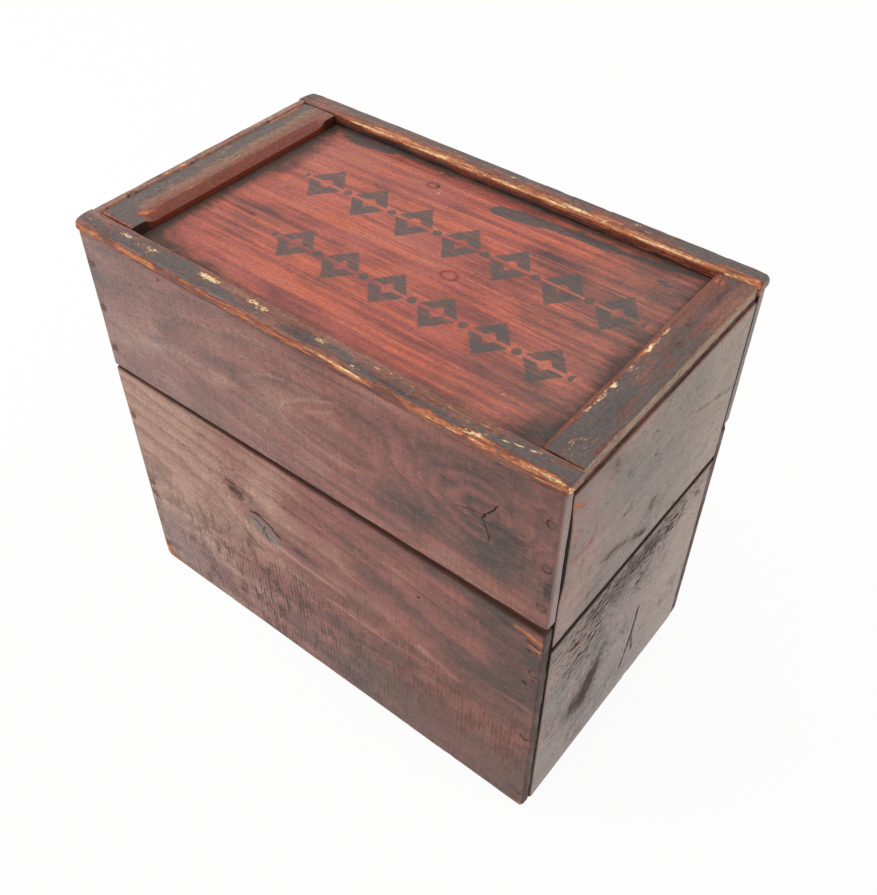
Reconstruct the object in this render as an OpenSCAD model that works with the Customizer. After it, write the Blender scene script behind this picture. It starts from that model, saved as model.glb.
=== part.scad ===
// Old pine goods box with a sliding lid.
// Two nailed boards make each wall, and a bottom board is fitted between the walls.
// The lid is one panel with a batten across each end. It slides out to the right, on two runners
// inside the long walls and under two rails that are nailed along their tops.
// The origin is at the middle of the underside, with +X towards the end where the lid comes out.

/* [Box] */
// Length over the ends of the front and back boards
box_l = 303; // [220:1:420]
// Width over the front and back boards
box_w = 180; // [130:1:260]
// Height of the front and back, up to the underside of the rails
side_h = 266.5; // [240:0.5:360]
// Thickness of the front and back boards
side_t = 7; // [5:0.5:12]
// Thickness of the end boards
end_t = 9; // [7:0.5:16]
// Thickness of the bottom board
bottom_t = 9; // [6:0.5:14]
// Gap between an end board or the bottom board and the walls on each side of it
board_fit = 0.3; // [0.1:0.05:0.5]
// Width of the eased arris round the outer face of each wall board
arris = 0.8; // [0.4:0.1:1.5]
// Radius that wear has left on the bottom corners of the long walls
worn_corner = 4; // [2:0.5:8]

/* [Seams] */
// Height of the lower front and back boards at the left end
side_seam_left = 173.5; // [140:0.5:190]
// Height of the lower front and back boards at the right end
side_seam_right = 171; // [140:0.5:190]
// Shrinkage gap over the lower front and back boards at the left end
side_gap_left = 1.4; // [0.5:0.1:4]
// Shrinkage gap over the lower front and back boards at the right end
side_gap_right = 4.4; // [0.5:0.1:6]
// Height of the lower end boards
end_seam = 150; // [120:0.5:180]
// Shrinkage gap over the lower end boards
end_gap = 3; // [0.5:0.1:6]
// Thickness of the tongue along the top of each lower board
tongue_t = 2.2; // [1.4:0.1:3]
// Width of the eased arris along each side of a seam
seam_arris = 1.1; // [0.6:0.1:1.8]
// How far the tongue still reaches into the board above
tongue_bite = 3; // [1.5:0.5:6]
// Gap round the tongue in its groove
tongue_fit = 0.15; // [0.05:0.05:0.4]

/* [Lid track] */
// Thickness of the rails
rail_t = 6.5; // [5:0.5:12]
// How far the rails stand out past the boards under them
rail_proud = 1; // [0:0.1:3]
// How far the rails reach in over the edges of the lid
rail_lap = 5; // [3:0.5:10]
// Width of the worn bevel on the rails' upper edges
rail_bevel = 1.2; // [0.4:0.1:2.5]
// Width of the runners under the lid
runner_w = 8; // [5:0.5:14]
// Height of the runners
runner_h = 12; // [8:0.5:20]
// Thickness of the lip at the left end that stops the lid
end_lip = 4.4; // [3:0.2:5.5]

/* [Lid] */
// Thickness of the panel
lid_t = 5; // [4:0.5:9]
// Clearance under and over the panel in its track
lid_play = 0.4; // [0.2:0.1:1]
// Clearance between each long edge of the panel and the wall
lid_side_play = 0.6; // [0.3:0.1:1.5]
// Clearance between the lid's inner end and the lip that stops it
lid_end_play = 0.6; // [0.3:0.1:1.5]
// How far the panel stands back under the right batten's outer edge
lid_setback = 3; // [1:0.5:8]
// Thickness of the battens
batten_t = 6.5; // [5:0.5:10]
// Clearance between each end of a batten and the rail beside it
batten_play = 1; // [0.4:0.1:2]
// Width of the left batten
left_batten_w = 24.5; // [18:0.5:35]
// Width of the right batten
right_batten_w = 21.5; // [16:0.5:35]
// Width of the stopped chamfer along the left batten's inner edge
chamfer_w = 4.5; // [2:0.5:7]
// Depth of that chamfer
chamfer_d = 2.6; // [1:0.2:4]
// Plain length left at each end of the left batten before the chamfer starts
chamfer_stop = 11; // [6:1:25]
// Length over which the chamfer runs out to nothing
chamfer_run = 9; // [4:1:15]
// Bevel across the ends of the left batten
batten_end_bevel = 2.6; // [0.5:0.1:4]
// Bevel along the right batten's outer edge
batten_edge_bevel = 2; // [0.5:0.1:4]
// Worn bevel along the right batten's inner edge
batten_worn_edge = 1.2; // [0.4:0.1:2.5]

/* [Nails] */
// Radius of a nail's shank
nail_r = 0.9; // [0.6:0.1:1.4]
// Radius of a nail's head
nail_head_r = 2; // [1.6:0.1:3]
// Thickness of a nail's head
nail_head_t = 0.8; // [0.4:0.1:1.5]
// How far the heads are punched below the wood
nail_sink = 0.2; // [0:0.1:0.6]
// Gap round a nail in its hole
nail_fit = 0.05; // [0.02:0.01:0.1]
// Length of the nails through the long walls and the ends
wall_nail_l = 32; // [25:1:45]
// Length of the nails through the rails
rail_nail_l = 17; // [13:1:25]
// Least distance from the outermost nails to a board's edge
nail_margin = 14; // [8:1:25]
// Nails in each end of a wall board
wall_nail_count = 3; // [2:1:5]
// Nails along each rail
rail_nail_count = 5; // [3:1:8]
// Nails along each runner
runner_nail_count = 4; // [2:1:7]
// Nails along each batten
batten_nail_count = 4; // [2:1:6]
// Nails into each long edge of the bottom board
bottom_side_nail_count = 3; // [2:1:6]
// Nails into each short edge of the bottom board
bottom_end_nail_count = 2; // [2:1:4]

/* [Hidden] */

// Round faces are drawn with this many sides
$fn = 32;
// Overlap of a cutting shape past the face that it cuts
cut = 1;
// Turn between the short sides that make a worn corner round
corner_step = 30;

// Signs that place a piece at the front or back and at the left or right
FRONT = -1;
BACK = 1;
LEFT = -1;
RIGHT = 1;

// Colours of the varnished walls, the worn track, the lid, the bare inside wood and the nails
WALL_COLOUR = "#7a4a3c";
TRACK_COLOUR = "#3d2b27";
LID_COLOUR = "#8c3a24";
BARE_COLOUR = "#b08458";
NAIL_COLOUR = "#3a3532";

// Half sizes of the box, outside and inside the walls
half_l = box_l / 2;
half_w = box_w / 2;
inner_half_l = half_l - end_t;
inner_half_w = half_w - side_t;

// Heights of the track: the floor that the lid runs on, and the panel above it
top_z = side_h + rail_t;
lid_top = side_h - lid_play;
lid_bottom = lid_top - lid_t;
track_floor = lid_bottom - lid_play;

// Half the clear width between the rails
rail_inner = inner_half_w - rail_lap;

// Ends of the lid along the box
lip_inner = -half_l + end_lip;
lid_left = lip_inner + lid_end_play;
lid_right = half_l - lid_setback;
batten_half = rail_inner - batten_play;

// Middles of the plain tops of the two battens, where their nails go
left_batten_nail_x = lid_left + (left_batten_w - chamfer_w) / 2;
right_batten_nail_x = half_l - right_batten_w / 2;

// Lengths of the shorter nails, which stop inside the second piece that they hold
batten_nail_l = batten_t + 0.8 * lid_t;
runner_nail_l = runner_w + 0.75 * side_t;

// Heights of the wall nails, each clear of both seams
lower_nail_top = min(end_seam, side_seam_left, side_seam_right) - nail_margin;
upper_nail_low = max(end_seam + end_gap, side_seam_left + side_gap_left, side_seam_right + side_gap_right)
    + nail_margin;
wall_nail_z = concat(
    spread(bottom_t + nail_margin / 2, lower_nail_top, wall_nail_count),
    spread(upper_nail_low, track_floor - nail_margin, wall_nail_count)
);

// Evenly spaced values from the first to the last
function spread(first, last, count) = [for (i = [0:count - 1]) first + (last - first) * i / (count - 1)];

// Positions along the box of the nails in one rail, one runner and one long edge of the bottom
rail_nail_x = spread(nail_margin - half_l, half_l - nail_margin, rail_nail_count);
runner_nail_x = spread(2 * nail_margin - inner_half_l, inner_half_l - 2 * nail_margin, runner_nail_count);
bottom_nail_x = spread(3 * nail_margin - half_l, half_l - 3 * nail_margin, bottom_side_nail_count);

// Positions across the box of the nails in one batten and one short edge of the bottom
batten_nail_y = spread(nail_margin - batten_half, batten_half - nail_margin, batten_nail_count);
bottom_nail_y = spread(3 * nail_margin - half_w, half_w - 3 * nail_margin, bottom_end_nail_count);

// A nail that points down, with its head just under z = 0, or the hole that it leaves with grow > 0
module nail(length, grow = 0) {
    tip = 3 * nail_r;
    translate([0, 0, -nail_sink - nail_head_t - grow])
        cylinder(r = nail_head_r + grow, h = nail_head_t + grow + (grow > 0 ? nail_sink + cut : 0));
    translate([0, 0, -length + tip])
        cylinder(r = nail_r + grow, h = length - tip - nail_sink);
    translate([0, 0, -length - grow])
        cylinder(r1 = grow, r2 = nail_r + grow, h = tip + grow);
}

// The nails through one end of a long wall into the end boards
module wall_nails(side, end, grow = 0) {
    for (z = wall_nail_z)
        translate([end * (half_l - end_t / 2), side * half_w, z])
            rotate([-side * 90, 0, 0])
                nail(wall_nail_l, grow);
}

// The nails through a long wall into the bottom board
module bottom_side_nails(side, grow = 0) {
    for (x = bottom_nail_x)
        translate([x, side * half_w, bottom_t / 2])
            rotate([-side * 90, 0, 0])
                nail(wall_nail_l, grow);
}

// The nails through an end into the bottom board
module bottom_end_nails(end, grow = 0) {
    for (y = bottom_nail_y)
        translate([end * half_l, y, bottom_t / 2])
            rotate([0, end * 90, 0])
                nail(wall_nail_l, grow);
}

// The nails down through a rail into the edge of the wall under it
module rail_nails(side, grow = 0) {
    for (x = rail_nail_x)
        translate([x, side * (half_w - side_t / 2), top_z])
            nail(rail_nail_l, grow);
}

// The nails through a runner into the wall behind it
module runner_nails(side, grow = 0) {
    for (x = runner_nail_x)
        translate([x, side * (inner_half_w - runner_w), track_floor - runner_h / 2])
            rotate([side * 90, 0, 0])
                nail(runner_nail_l, grow);
}

// The nails down through a batten into the panel
module batten_nails(x, grow = 0) {
    for (y = batten_nail_y)
        translate([x, y, lid_top + batten_t])
            nail(batten_nail_l, grow);
}

// Cuts the arris along the line from p to q, points [x, z] on the outer face at y = 0, as a plane at
// 45 degrees that leaves a strip of the given width. The wood lies to the left of the line.
module arris_cut(p, q, width) {
    run = q - p;
    reach = 3 * width;
    translate([p[0], 0, p[1]])
        rotate([0, -atan2(run[1], run[0]), 0])
            rotate([-45, 0, 0])
                translate([-reach, -reach, width / sqrt(2) - reach])
                    cube([norm(run) + 2 * reach, 2 * reach, reach]);
}

// Stands a flat shape of points [x, z] on edge, from y = near to y = far
module upright(near, far) {
    rotate([90, 0, 0])
        translate([0, 0, -far])
            linear_extrude(far - near)
                children();
}

// A flat board on edge: outline is points [x, z] anticlockwise and has no hollows, and the outer face is
// at y = 0. All its edges are eased, and seam is the number of the edge that lies along a seam.
module board(outline, thickness, seam) {
    last = len(outline) - 1;
    difference() {
        upright(0, thickness)
            polygon(outline);
        for (i = [0:last])
            arris_cut(outline[i], outline[i == last ? 0 : i + 1], i == seam ? seam_arris : arris);
    }
}

// The tongue of a seam in a board of the given length and thickness, or the groove for it with grow > 0.
// base and top are its heights at the two ends.
module tongue(length, thickness, base, top, grow = 0) {
    past = grow > 0 ? cut : 0;
    near = (thickness - tongue_t) / 2;
    upright(near - grow, near + tongue_t + grow)
        polygon([
            [-past, base[0]], [length + past, base[1]],
            [length + past, top[1] + grow], [-past, top[0] + grow]
        ]);
}

// Heights of the side seam at the left and right ends: the lower board, the upper board and the tongue
side_seam = [side_seam_left, side_seam_right];
side_upper_low = side_seam + [side_gap_left, side_gap_right];
side_tongue_top = side_upper_low + [tongue_bite, tongue_bite];

// The lower board of the front, in place
module lower_side_board() {
    r = worn_corner;
    outline = concat(
        [for (a = [180:corner_step:270]) [r + r * cos(a), r + r * sin(a)]],
        [for (a = [270:corner_step:360]) [box_l - r + r * cos(a), r + r * sin(a)]],
        [[box_l, side_seam[1]], [0, side_seam[0]]]
    );
    translate([-half_l, -half_w, 0]) {
        board(outline, side_t, len(outline) - 2);
        tongue(box_l, side_t, side_seam - [cut, cut], side_tongue_top);
    }
}

// The upper board of the front, in place
module upper_side_board() {
    outline = [[0, side_upper_low[0]], [box_l, side_upper_low[1]], [box_l, side_h], [0, side_h]];
    translate([-half_l, -half_w, 0])
        difference() {
            board(outline, side_t, 0);
            tongue(box_l, side_t, side_upper_low - [cut, cut], side_tongue_top, tongue_fit);
        }
}

// A long-wall board of the given side, with the nail holes that it shares with its neighbours
module long_wall(side) {
    difference() {
        mirror([0, side == BACK ? 1 : 0, 0])
            children();
        wall_nails(side, LEFT, nail_fit);
        wall_nails(side, RIGHT, nail_fit);
        bottom_side_nails(side, nail_fit);
        rail_nails(side, nail_fit);
        runner_nails(side, nail_fit);
    }
}

// An end board drawn along x from 0 to its width, turned to stand between the long walls
module end_wall(end) {
    difference() {
        mirror([end == LEFT ? 1 : 0, 0, 0])
            translate([half_l, board_fit - inner_half_w, 0])
                rotate([0, 0, 90])
                    children();
        wall_nails(FRONT, end, nail_fit);
        wall_nails(BACK, end, nail_fit);
        bottom_end_nails(end, nail_fit);
    }
}

// Width of an end board, and heights of the end seam: the upper board's low edge and the tongue's top
end_board_w = 2 * (inner_half_w - board_fit);
end_upper_low = end_seam + end_gap;
end_tongue_top = end_upper_low + tongue_bite;

// The lower board of an end, drawn along x
module lower_end_board() {
    base = end_seam - cut;
    board([[0, 0], [end_board_w, 0], [end_board_w, end_seam], [0, end_seam]], end_t, 2);
    tongue(end_board_w, end_t, [base, base], [end_tongue_top, end_tongue_top]);
}

// The upper board of an end, drawn along x up to the given height
module upper_end_board(top) {
    base = end_upper_low - cut;
    difference() {
        board([[0, end_upper_low], [end_board_w, end_upper_low], [end_board_w, top], [0, top]], end_t, 0);
        tongue(end_board_w, end_t, [base, base], [end_tongue_top, end_tongue_top], tongue_fit);
    }
}

module front_lower_board() {
    color(WALL_COLOUR)
        long_wall(FRONT)
            lower_side_board();
}

module front_upper_board() {
    color(WALL_COLOUR)
        long_wall(FRONT)
            upper_side_board();
}

module back_lower_board() {
    color(WALL_COLOUR)
        long_wall(BACK)
            lower_side_board();
}

module back_upper_board() {
    color(WALL_COLOUR)
        long_wall(BACK)
            upper_side_board();
}

module left_lower_board() {
    color(WALL_COLOUR)
        end_wall(LEFT)
            lower_end_board();
}

module right_lower_board() {
    color(WALL_COLOUR)
        end_wall(RIGHT)
            lower_end_board();
}

// Rises between the rails to their tops, and is rebated inside to take the end of the lid
module left_upper_board() {
    color(WALL_COLOUR)
        end_wall(LEFT)
            difference() {
                upper_end_board(top_z);
                translate([-cut, end_lip, track_floor])
                    cube([end_board_w + 2 * cut, end_t, top_z]);
                for (x = [-cut, end_board_w - rail_lap])
                    translate([x, -cut, side_h])
                        cube([rail_lap + cut, end_t + 2 * cut, top_z]);
            }
}

// Stops level with the runners, so that the lid passes over it
module right_upper_board() {
    color(WALL_COLOUR)
        end_wall(RIGHT)
            upper_end_board(track_floor);
}

module bottom_board() {
    length = 2 * (inner_half_l - board_fit);
    width = 2 * (inner_half_w - board_fit);
    color(BARE_COLOUR)
        difference() {
            translate([-length / 2, -width / 2, 0])
                cube([length, width, bottom_t]);
            bottom_side_nails(FRONT, nail_fit);
            bottom_side_nails(BACK, nail_fit);
            bottom_end_nails(LEFT, nail_fit);
            bottom_end_nails(RIGHT, nail_fit);
        }
}

// A strip along the top of a long wall, with its upper edges worn to a bevel
module rail(side) {
    width = rail_proud + side_t + rail_lap;
    length = box_l + 2 * rail_proud;
    profile = [
        [0, 0], [width, 0], [width, rail_t - rail_bevel], [width - rail_bevel, rail_t],
        [rail_bevel, rail_t], [0, rail_t - rail_bevel]
    ];
    color(TRACK_COLOUR)
        difference() {
            mirror([0, side == BACK ? 1 : 0, 0])
                translate([-length / 2, -half_w - rail_proud, side_h])
                    rotate([90, 0, 90])
                        linear_extrude(length)
                            polygon(profile);
            rail_nails(side, nail_fit);
        }
}

module front_rail() {
    rail(FRONT);
}

module back_rail() {
    rail(BACK);
}

// A strip inside a long wall that carries one edge of the lid
module runner(side) {
    length = 2 * inner_half_l;
    color(BARE_COLOUR)
        difference() {
            mirror([0, side == BACK ? 1 : 0, 0])
                translate([-length / 2, -inner_half_w, track_floor - runner_h])
                    cube([length, runner_w, runner_h]);
            runner_nails(side, nail_fit);
        }
}

module front_runner() {
    runner(FRONT);
}

module back_runner() {
    runner(BACK);
}

module lid_panel() {
    half_panel = inner_half_w - lid_side_play;
    color(LID_COLOUR)
        difference() {
            translate([lid_left, -half_panel, lid_bottom])
                cube([lid_right - lid_left, 2 * half_panel, lid_t]);
            batten_nails(left_batten_nail_x, nail_fit);
            batten_nails(right_batten_nail_x, nail_fit);
        }
}

// What the stopped chamfer takes off the left batten: a wedge along its inner edge, run out at both ends
module stopped_chamfer() {
    straight = batten_half - chamfer_stop - chamfer_run;
    wedge = [[0, cut], [0, -chamfer_d], [-chamfer_w, 0], [-chamfer_w, cut]];
    translate([lid_left + left_batten_w, 0, lid_top + batten_t])
        hull() {
            rotate([90, 0, 0])
                linear_extrude(2 * straight, center = true)
                    polygon(wedge);
            rotate([90, 0, 0])
                linear_extrude(2 * (straight + chamfer_run), center = true)
                    polygon([[0, cut], [0, 0], [-chamfer_w, cut]]);
        }
}

module left_batten() {
    profile = [
        [-batten_half, 0], [batten_half, 0], [batten_half, batten_t - batten_end_bevel],
        [batten_half - batten_end_bevel, batten_t], [batten_end_bevel - batten_half, batten_t],
        [-batten_half, batten_t - batten_end_bevel]
    ];
    color(TRACK_COLOUR)
        difference() {
            translate([lid_left, 0, lid_top])
                rotate([90, 0, 90])
                    linear_extrude(left_batten_w)
                        polygon(profile);
            stopped_chamfer();
            batten_nails(left_batten_nail_x, nail_fit);
        }
}

module right_batten() {
    profile = [
        [0, 0], [right_batten_w, 0], [right_batten_w, batten_t - batten_edge_bevel],
        [right_batten_w - batten_edge_bevel, batten_t], [batten_worn_edge, batten_t],
        [0, batten_t - batten_worn_edge]
    ];
    color(TRACK_COLOUR)
        difference() {
            translate([half_l - right_batten_w, batten_half, lid_top])
                rotate([90, 0, 0])
                    linear_extrude(2 * batten_half)
                        polygon(profile);
            batten_nails(right_batten_nail_x, nail_fit);
        }
}

module front_left_nails() {
    color(NAIL_COLOUR)
        wall_nails(FRONT, LEFT);
}

module front_right_nails() {
    color(NAIL_COLOUR)
        wall_nails(FRONT, RIGHT);
}

module back_left_nails() {
    color(NAIL_COLOUR)
        wall_nails(BACK, LEFT);
}

module back_right_nails() {
    color(NAIL_COLOUR)
        wall_nails(BACK, RIGHT);
}

module bottom_nails() {
    color(NAIL_COLOUR) {
        bottom_side_nails(FRONT);
        bottom_side_nails(BACK);
        bottom_end_nails(LEFT);
        bottom_end_nails(RIGHT);
    }
}

module front_rail_nails() {
    color(NAIL_COLOUR)
        rail_nails(FRONT);
}

module back_rail_nails() {
    color(NAIL_COLOUR)
        rail_nails(BACK);
}

module front_runner_nails() {
    color(NAIL_COLOUR)
        runner_nails(FRONT);
}

module back_runner_nails() {
    color(NAIL_COLOUR)
        runner_nails(BACK);
}

module left_batten_nails() {
    color(NAIL_COLOUR)
        batten_nails(left_batten_nail_x);
}

module right_batten_nails() {
    color(NAIL_COLOUR)
        batten_nails(right_batten_nail_x);
}

front_lower_board();
front_upper_board();
back_lower_board();
back_upper_board();
left_lower_board();
left_upper_board();
right_lower_board();
right_upper_board();
bottom_board();
front_rail();
back_rail();
front_runner();
back_runner();
lid_panel();
left_batten();
right_batten();
front_left_nails();
front_right_nails();
back_left_nails();
back_right_nails();
bottom_nails();
front_rail_nails();
back_rail_nails();
front_runner_nails();
back_runner_nails();
left_batten_nails();
right_batten_nails();
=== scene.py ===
import itertools
import math
from functools import partial, reduce

import bpy
import numpy as np
from mathutils import Matrix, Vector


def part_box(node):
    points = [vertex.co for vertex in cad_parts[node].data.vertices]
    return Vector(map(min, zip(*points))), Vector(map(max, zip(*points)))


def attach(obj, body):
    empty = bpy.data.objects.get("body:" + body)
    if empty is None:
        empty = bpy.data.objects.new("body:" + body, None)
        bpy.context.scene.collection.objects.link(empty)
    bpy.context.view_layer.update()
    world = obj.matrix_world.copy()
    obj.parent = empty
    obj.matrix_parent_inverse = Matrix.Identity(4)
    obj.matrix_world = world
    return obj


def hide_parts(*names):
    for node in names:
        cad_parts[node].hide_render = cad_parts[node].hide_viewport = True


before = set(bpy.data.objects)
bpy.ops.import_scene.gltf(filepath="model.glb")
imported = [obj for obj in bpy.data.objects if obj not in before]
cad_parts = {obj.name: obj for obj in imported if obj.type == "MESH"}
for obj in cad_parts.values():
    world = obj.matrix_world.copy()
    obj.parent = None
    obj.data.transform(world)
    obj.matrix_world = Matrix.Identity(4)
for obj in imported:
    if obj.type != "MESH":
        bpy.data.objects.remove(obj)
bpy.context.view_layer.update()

# Lengths are in millimetres until a mesh is made
MM = 0.001
# A grid point nearer to a plane than TOUCH lies on it, and one within SLACK of a step counts as on the step
TOUCH = 1e-6
SLACK = 0.02

# Grid lines by an edge, measured in from it, close enough to carry a worn round
EDGE_LINES = np.array([0, 0.3, 0.7, 1.2, 1.8, 2.6, 3.6, 4.8, 6.2])
# Spacing of grid lines: faces that show most, other faces, rails and battens, round small marks, through
# the boards, through the lid, and on sticks that hardly show
FACE_STEP = 1.15
PLAIN_STEP = 1.5
RAIL_STEP = 0.6
FINE_STEP = 0.55
THROUGH_STEP = 3.0
LID_THROUGH_STEP = 1.2
STICK_STEP = 4.0
# Gap between the two grid lines of a sharp step
STEP_GAP = 0.1
# How far the grain's pattern shifts from one piece's seed to the next
GRAIN_SHIFT = 411
# Size of a pattern's cells along an axis where it doesn't change
FAR = np.inf

# The seam between the boards of a long wall, at its left and its right end, and of an end wall
SIDE_SEAM_LOW = (173.5, 171.0)
SIDE_SEAM_HIGH = (174.9, 175.4)
END_SEAM_LOW = 150.0
END_SEAM_HIGH = 153.0
TONGUE = 2.2
TONGUE_BITE = 3.0
TONGUE_FIT = 0.15

# The rebate at the top of the left end board
LIP = 4.4
LIP_FOOT = 260.7
RAIL_FOOT = 266.5
LIP_HALF = 77.7

# The stopped chamfer on the left batten
CHAMFER_W = 6.0
CHAMFER_D = 3.0
CHAMFER_STOP = 7.0
CHAMFER_RUN = 8.0

# Nails in the ends of the long walls, the dimple that each head sits in, and the fine grid round it
NAIL_X = 147.0
NAIL_LEVELS = {"lower": (16.0, 76.0, 136.0), "upper": (190.0, 218.0, 247.0)}
DIMPLE_R = 2.5
DIMPLE_DEEP = 0.3
NAIL_REACH = 3.2

# Rounds at the foot of the lower long boards: left corner, right corner, and the back wall's whole edge
LEFT_ROUND = 4.5
RIGHT_ROUND = 2.2
BACK_ROUND = 5.0
# The lower long boards are sawn short at the right, and the front one is torn there
END_SHORT = 0.35
END_TORN = 0.8
# Width of the strip inside a long wall that the end walls cover
JOINT = 6.0
# How far the upper right board has drawn back from the front wall
DRAWN_BACK = 2.2

# Knots in the front boards: their middle, the size of the swollen rings round them, and how far they swell;
# the reach of the fine grid round them, along and up; and the width of the bands round the upper one
FRONT_KNOTS = {"upper": ((112.0, 231.0), (46, 26), 46.0), "lower": ((-39.6, 107.5), (24, 9), 11.0)}
KNOT_REACH = ((-16, 14), (-16, 12))
CURL_PITCH = 7.5
# Knots in the lid: middle and radius, the rings round them, and how far they swell
LID_KNOTS = (((-34.2, 60.6), 2.6), ((24.4, -0.9), 3.6))
LID_KNOT_RINGS = ((13, 5.5), 5.0)
# The lid panel's rough end comes out as far as the grip's face
LID_END = 2.3
# Half width of the lid's face between the rails, and where it meets the battens
LID_HALF = 76.5
LID_LEFT, LID_RIGHT = -118, 129

# Where the log's heart lay behind each piece: across, into the wood, and its lean along the piece
FRONT_HEARTS = {"upper": ((223.0, 31.0), -0.15), "lower": ((96.0, 60.0), 0.1)}
BACK_HEARTS = {"upper": ((223.0, 50.0), 0.08), "lower": ((-30.0, 50.0), 0.08)}
END_HEARTS = {"upper": ((200.0, 55.0), 0.08), "lower": ((20.0, 55.0), 0.08)}
RAIL_HEARTS = {side: ((60.0 * side, 30.0), 0.02) for side in (-1, 1)}
BATTEN_HEARTS = {end: ((70.0 * end, 25.0), 0.02) for end in (-1, 1)}
LID_HEART = ((260.0, 60.0), 0.05)
STICK_HEART = ((120.0, 20.0), 0.01)

# Tone of the front boards by share of their length, part fading and part painted light, paler at the left
# and darker at the right; and milky varnish with a painted sheen on the upper one
TONE_AT = (0, 0.3, 0.6, 1.0)
FRONT_TONES_AND_PAINTED_LIGHT = {"lower": (1.06, 0.82, 0.46, 0.12), "upper": (0.46, 0.6, 0.48, 0.26)}
FRONT_MILK_AND_SHEEN = ((0, 0.3, 0.6), (0.34, 0.2, 0.06))
# Milky varnish and a painted sheen of reflected light on the end boards, by y
END_MILK_AND_SHEEN_AT = (-83, 10, 60, 80)
END_MILK_AND_SHEEN = {"lower": (0.3, 0.3, 0.7, 0.8), "upper": (0.22, 0.5, 0.66, 0.75)}
# Where the saw marks of the lower long boards are deepest: middle, half sizes and strength
SAWN_SPOTS = (((-52, 42), (62, 40), 0.5), ((110, 40), (50, 40), 0.3))

# How far the front rail's outer edge is rubbed, by x, and how far up and over it that band's middle lies
FRONT_RAIL_WEAR = (
    (-152, 0.6), (-146, 0.95), (-130, 0.85), (-127, 0.6), (-119, 0.62), (-114, 0.85), (-92, 0.85),
    (-88, 0.55), (-74, 0.6), (-66, 0.7), (-50, 0.85), (-26, 0.8), (-18, 0.62), (10, 0.8), (39, 1.0),
    (60, 0.6), (92, 0.9), (99, 0.85), (102, 0.4), (106, 1.0), (112, 1.05), (119, 0.65), (130, 0.95),
    (143, 1.15), (152, 1.1))
RAIL_BAND = ((-150, 0, 70, 150), (3.2, 3.6, 5.8, 6.6))
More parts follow.
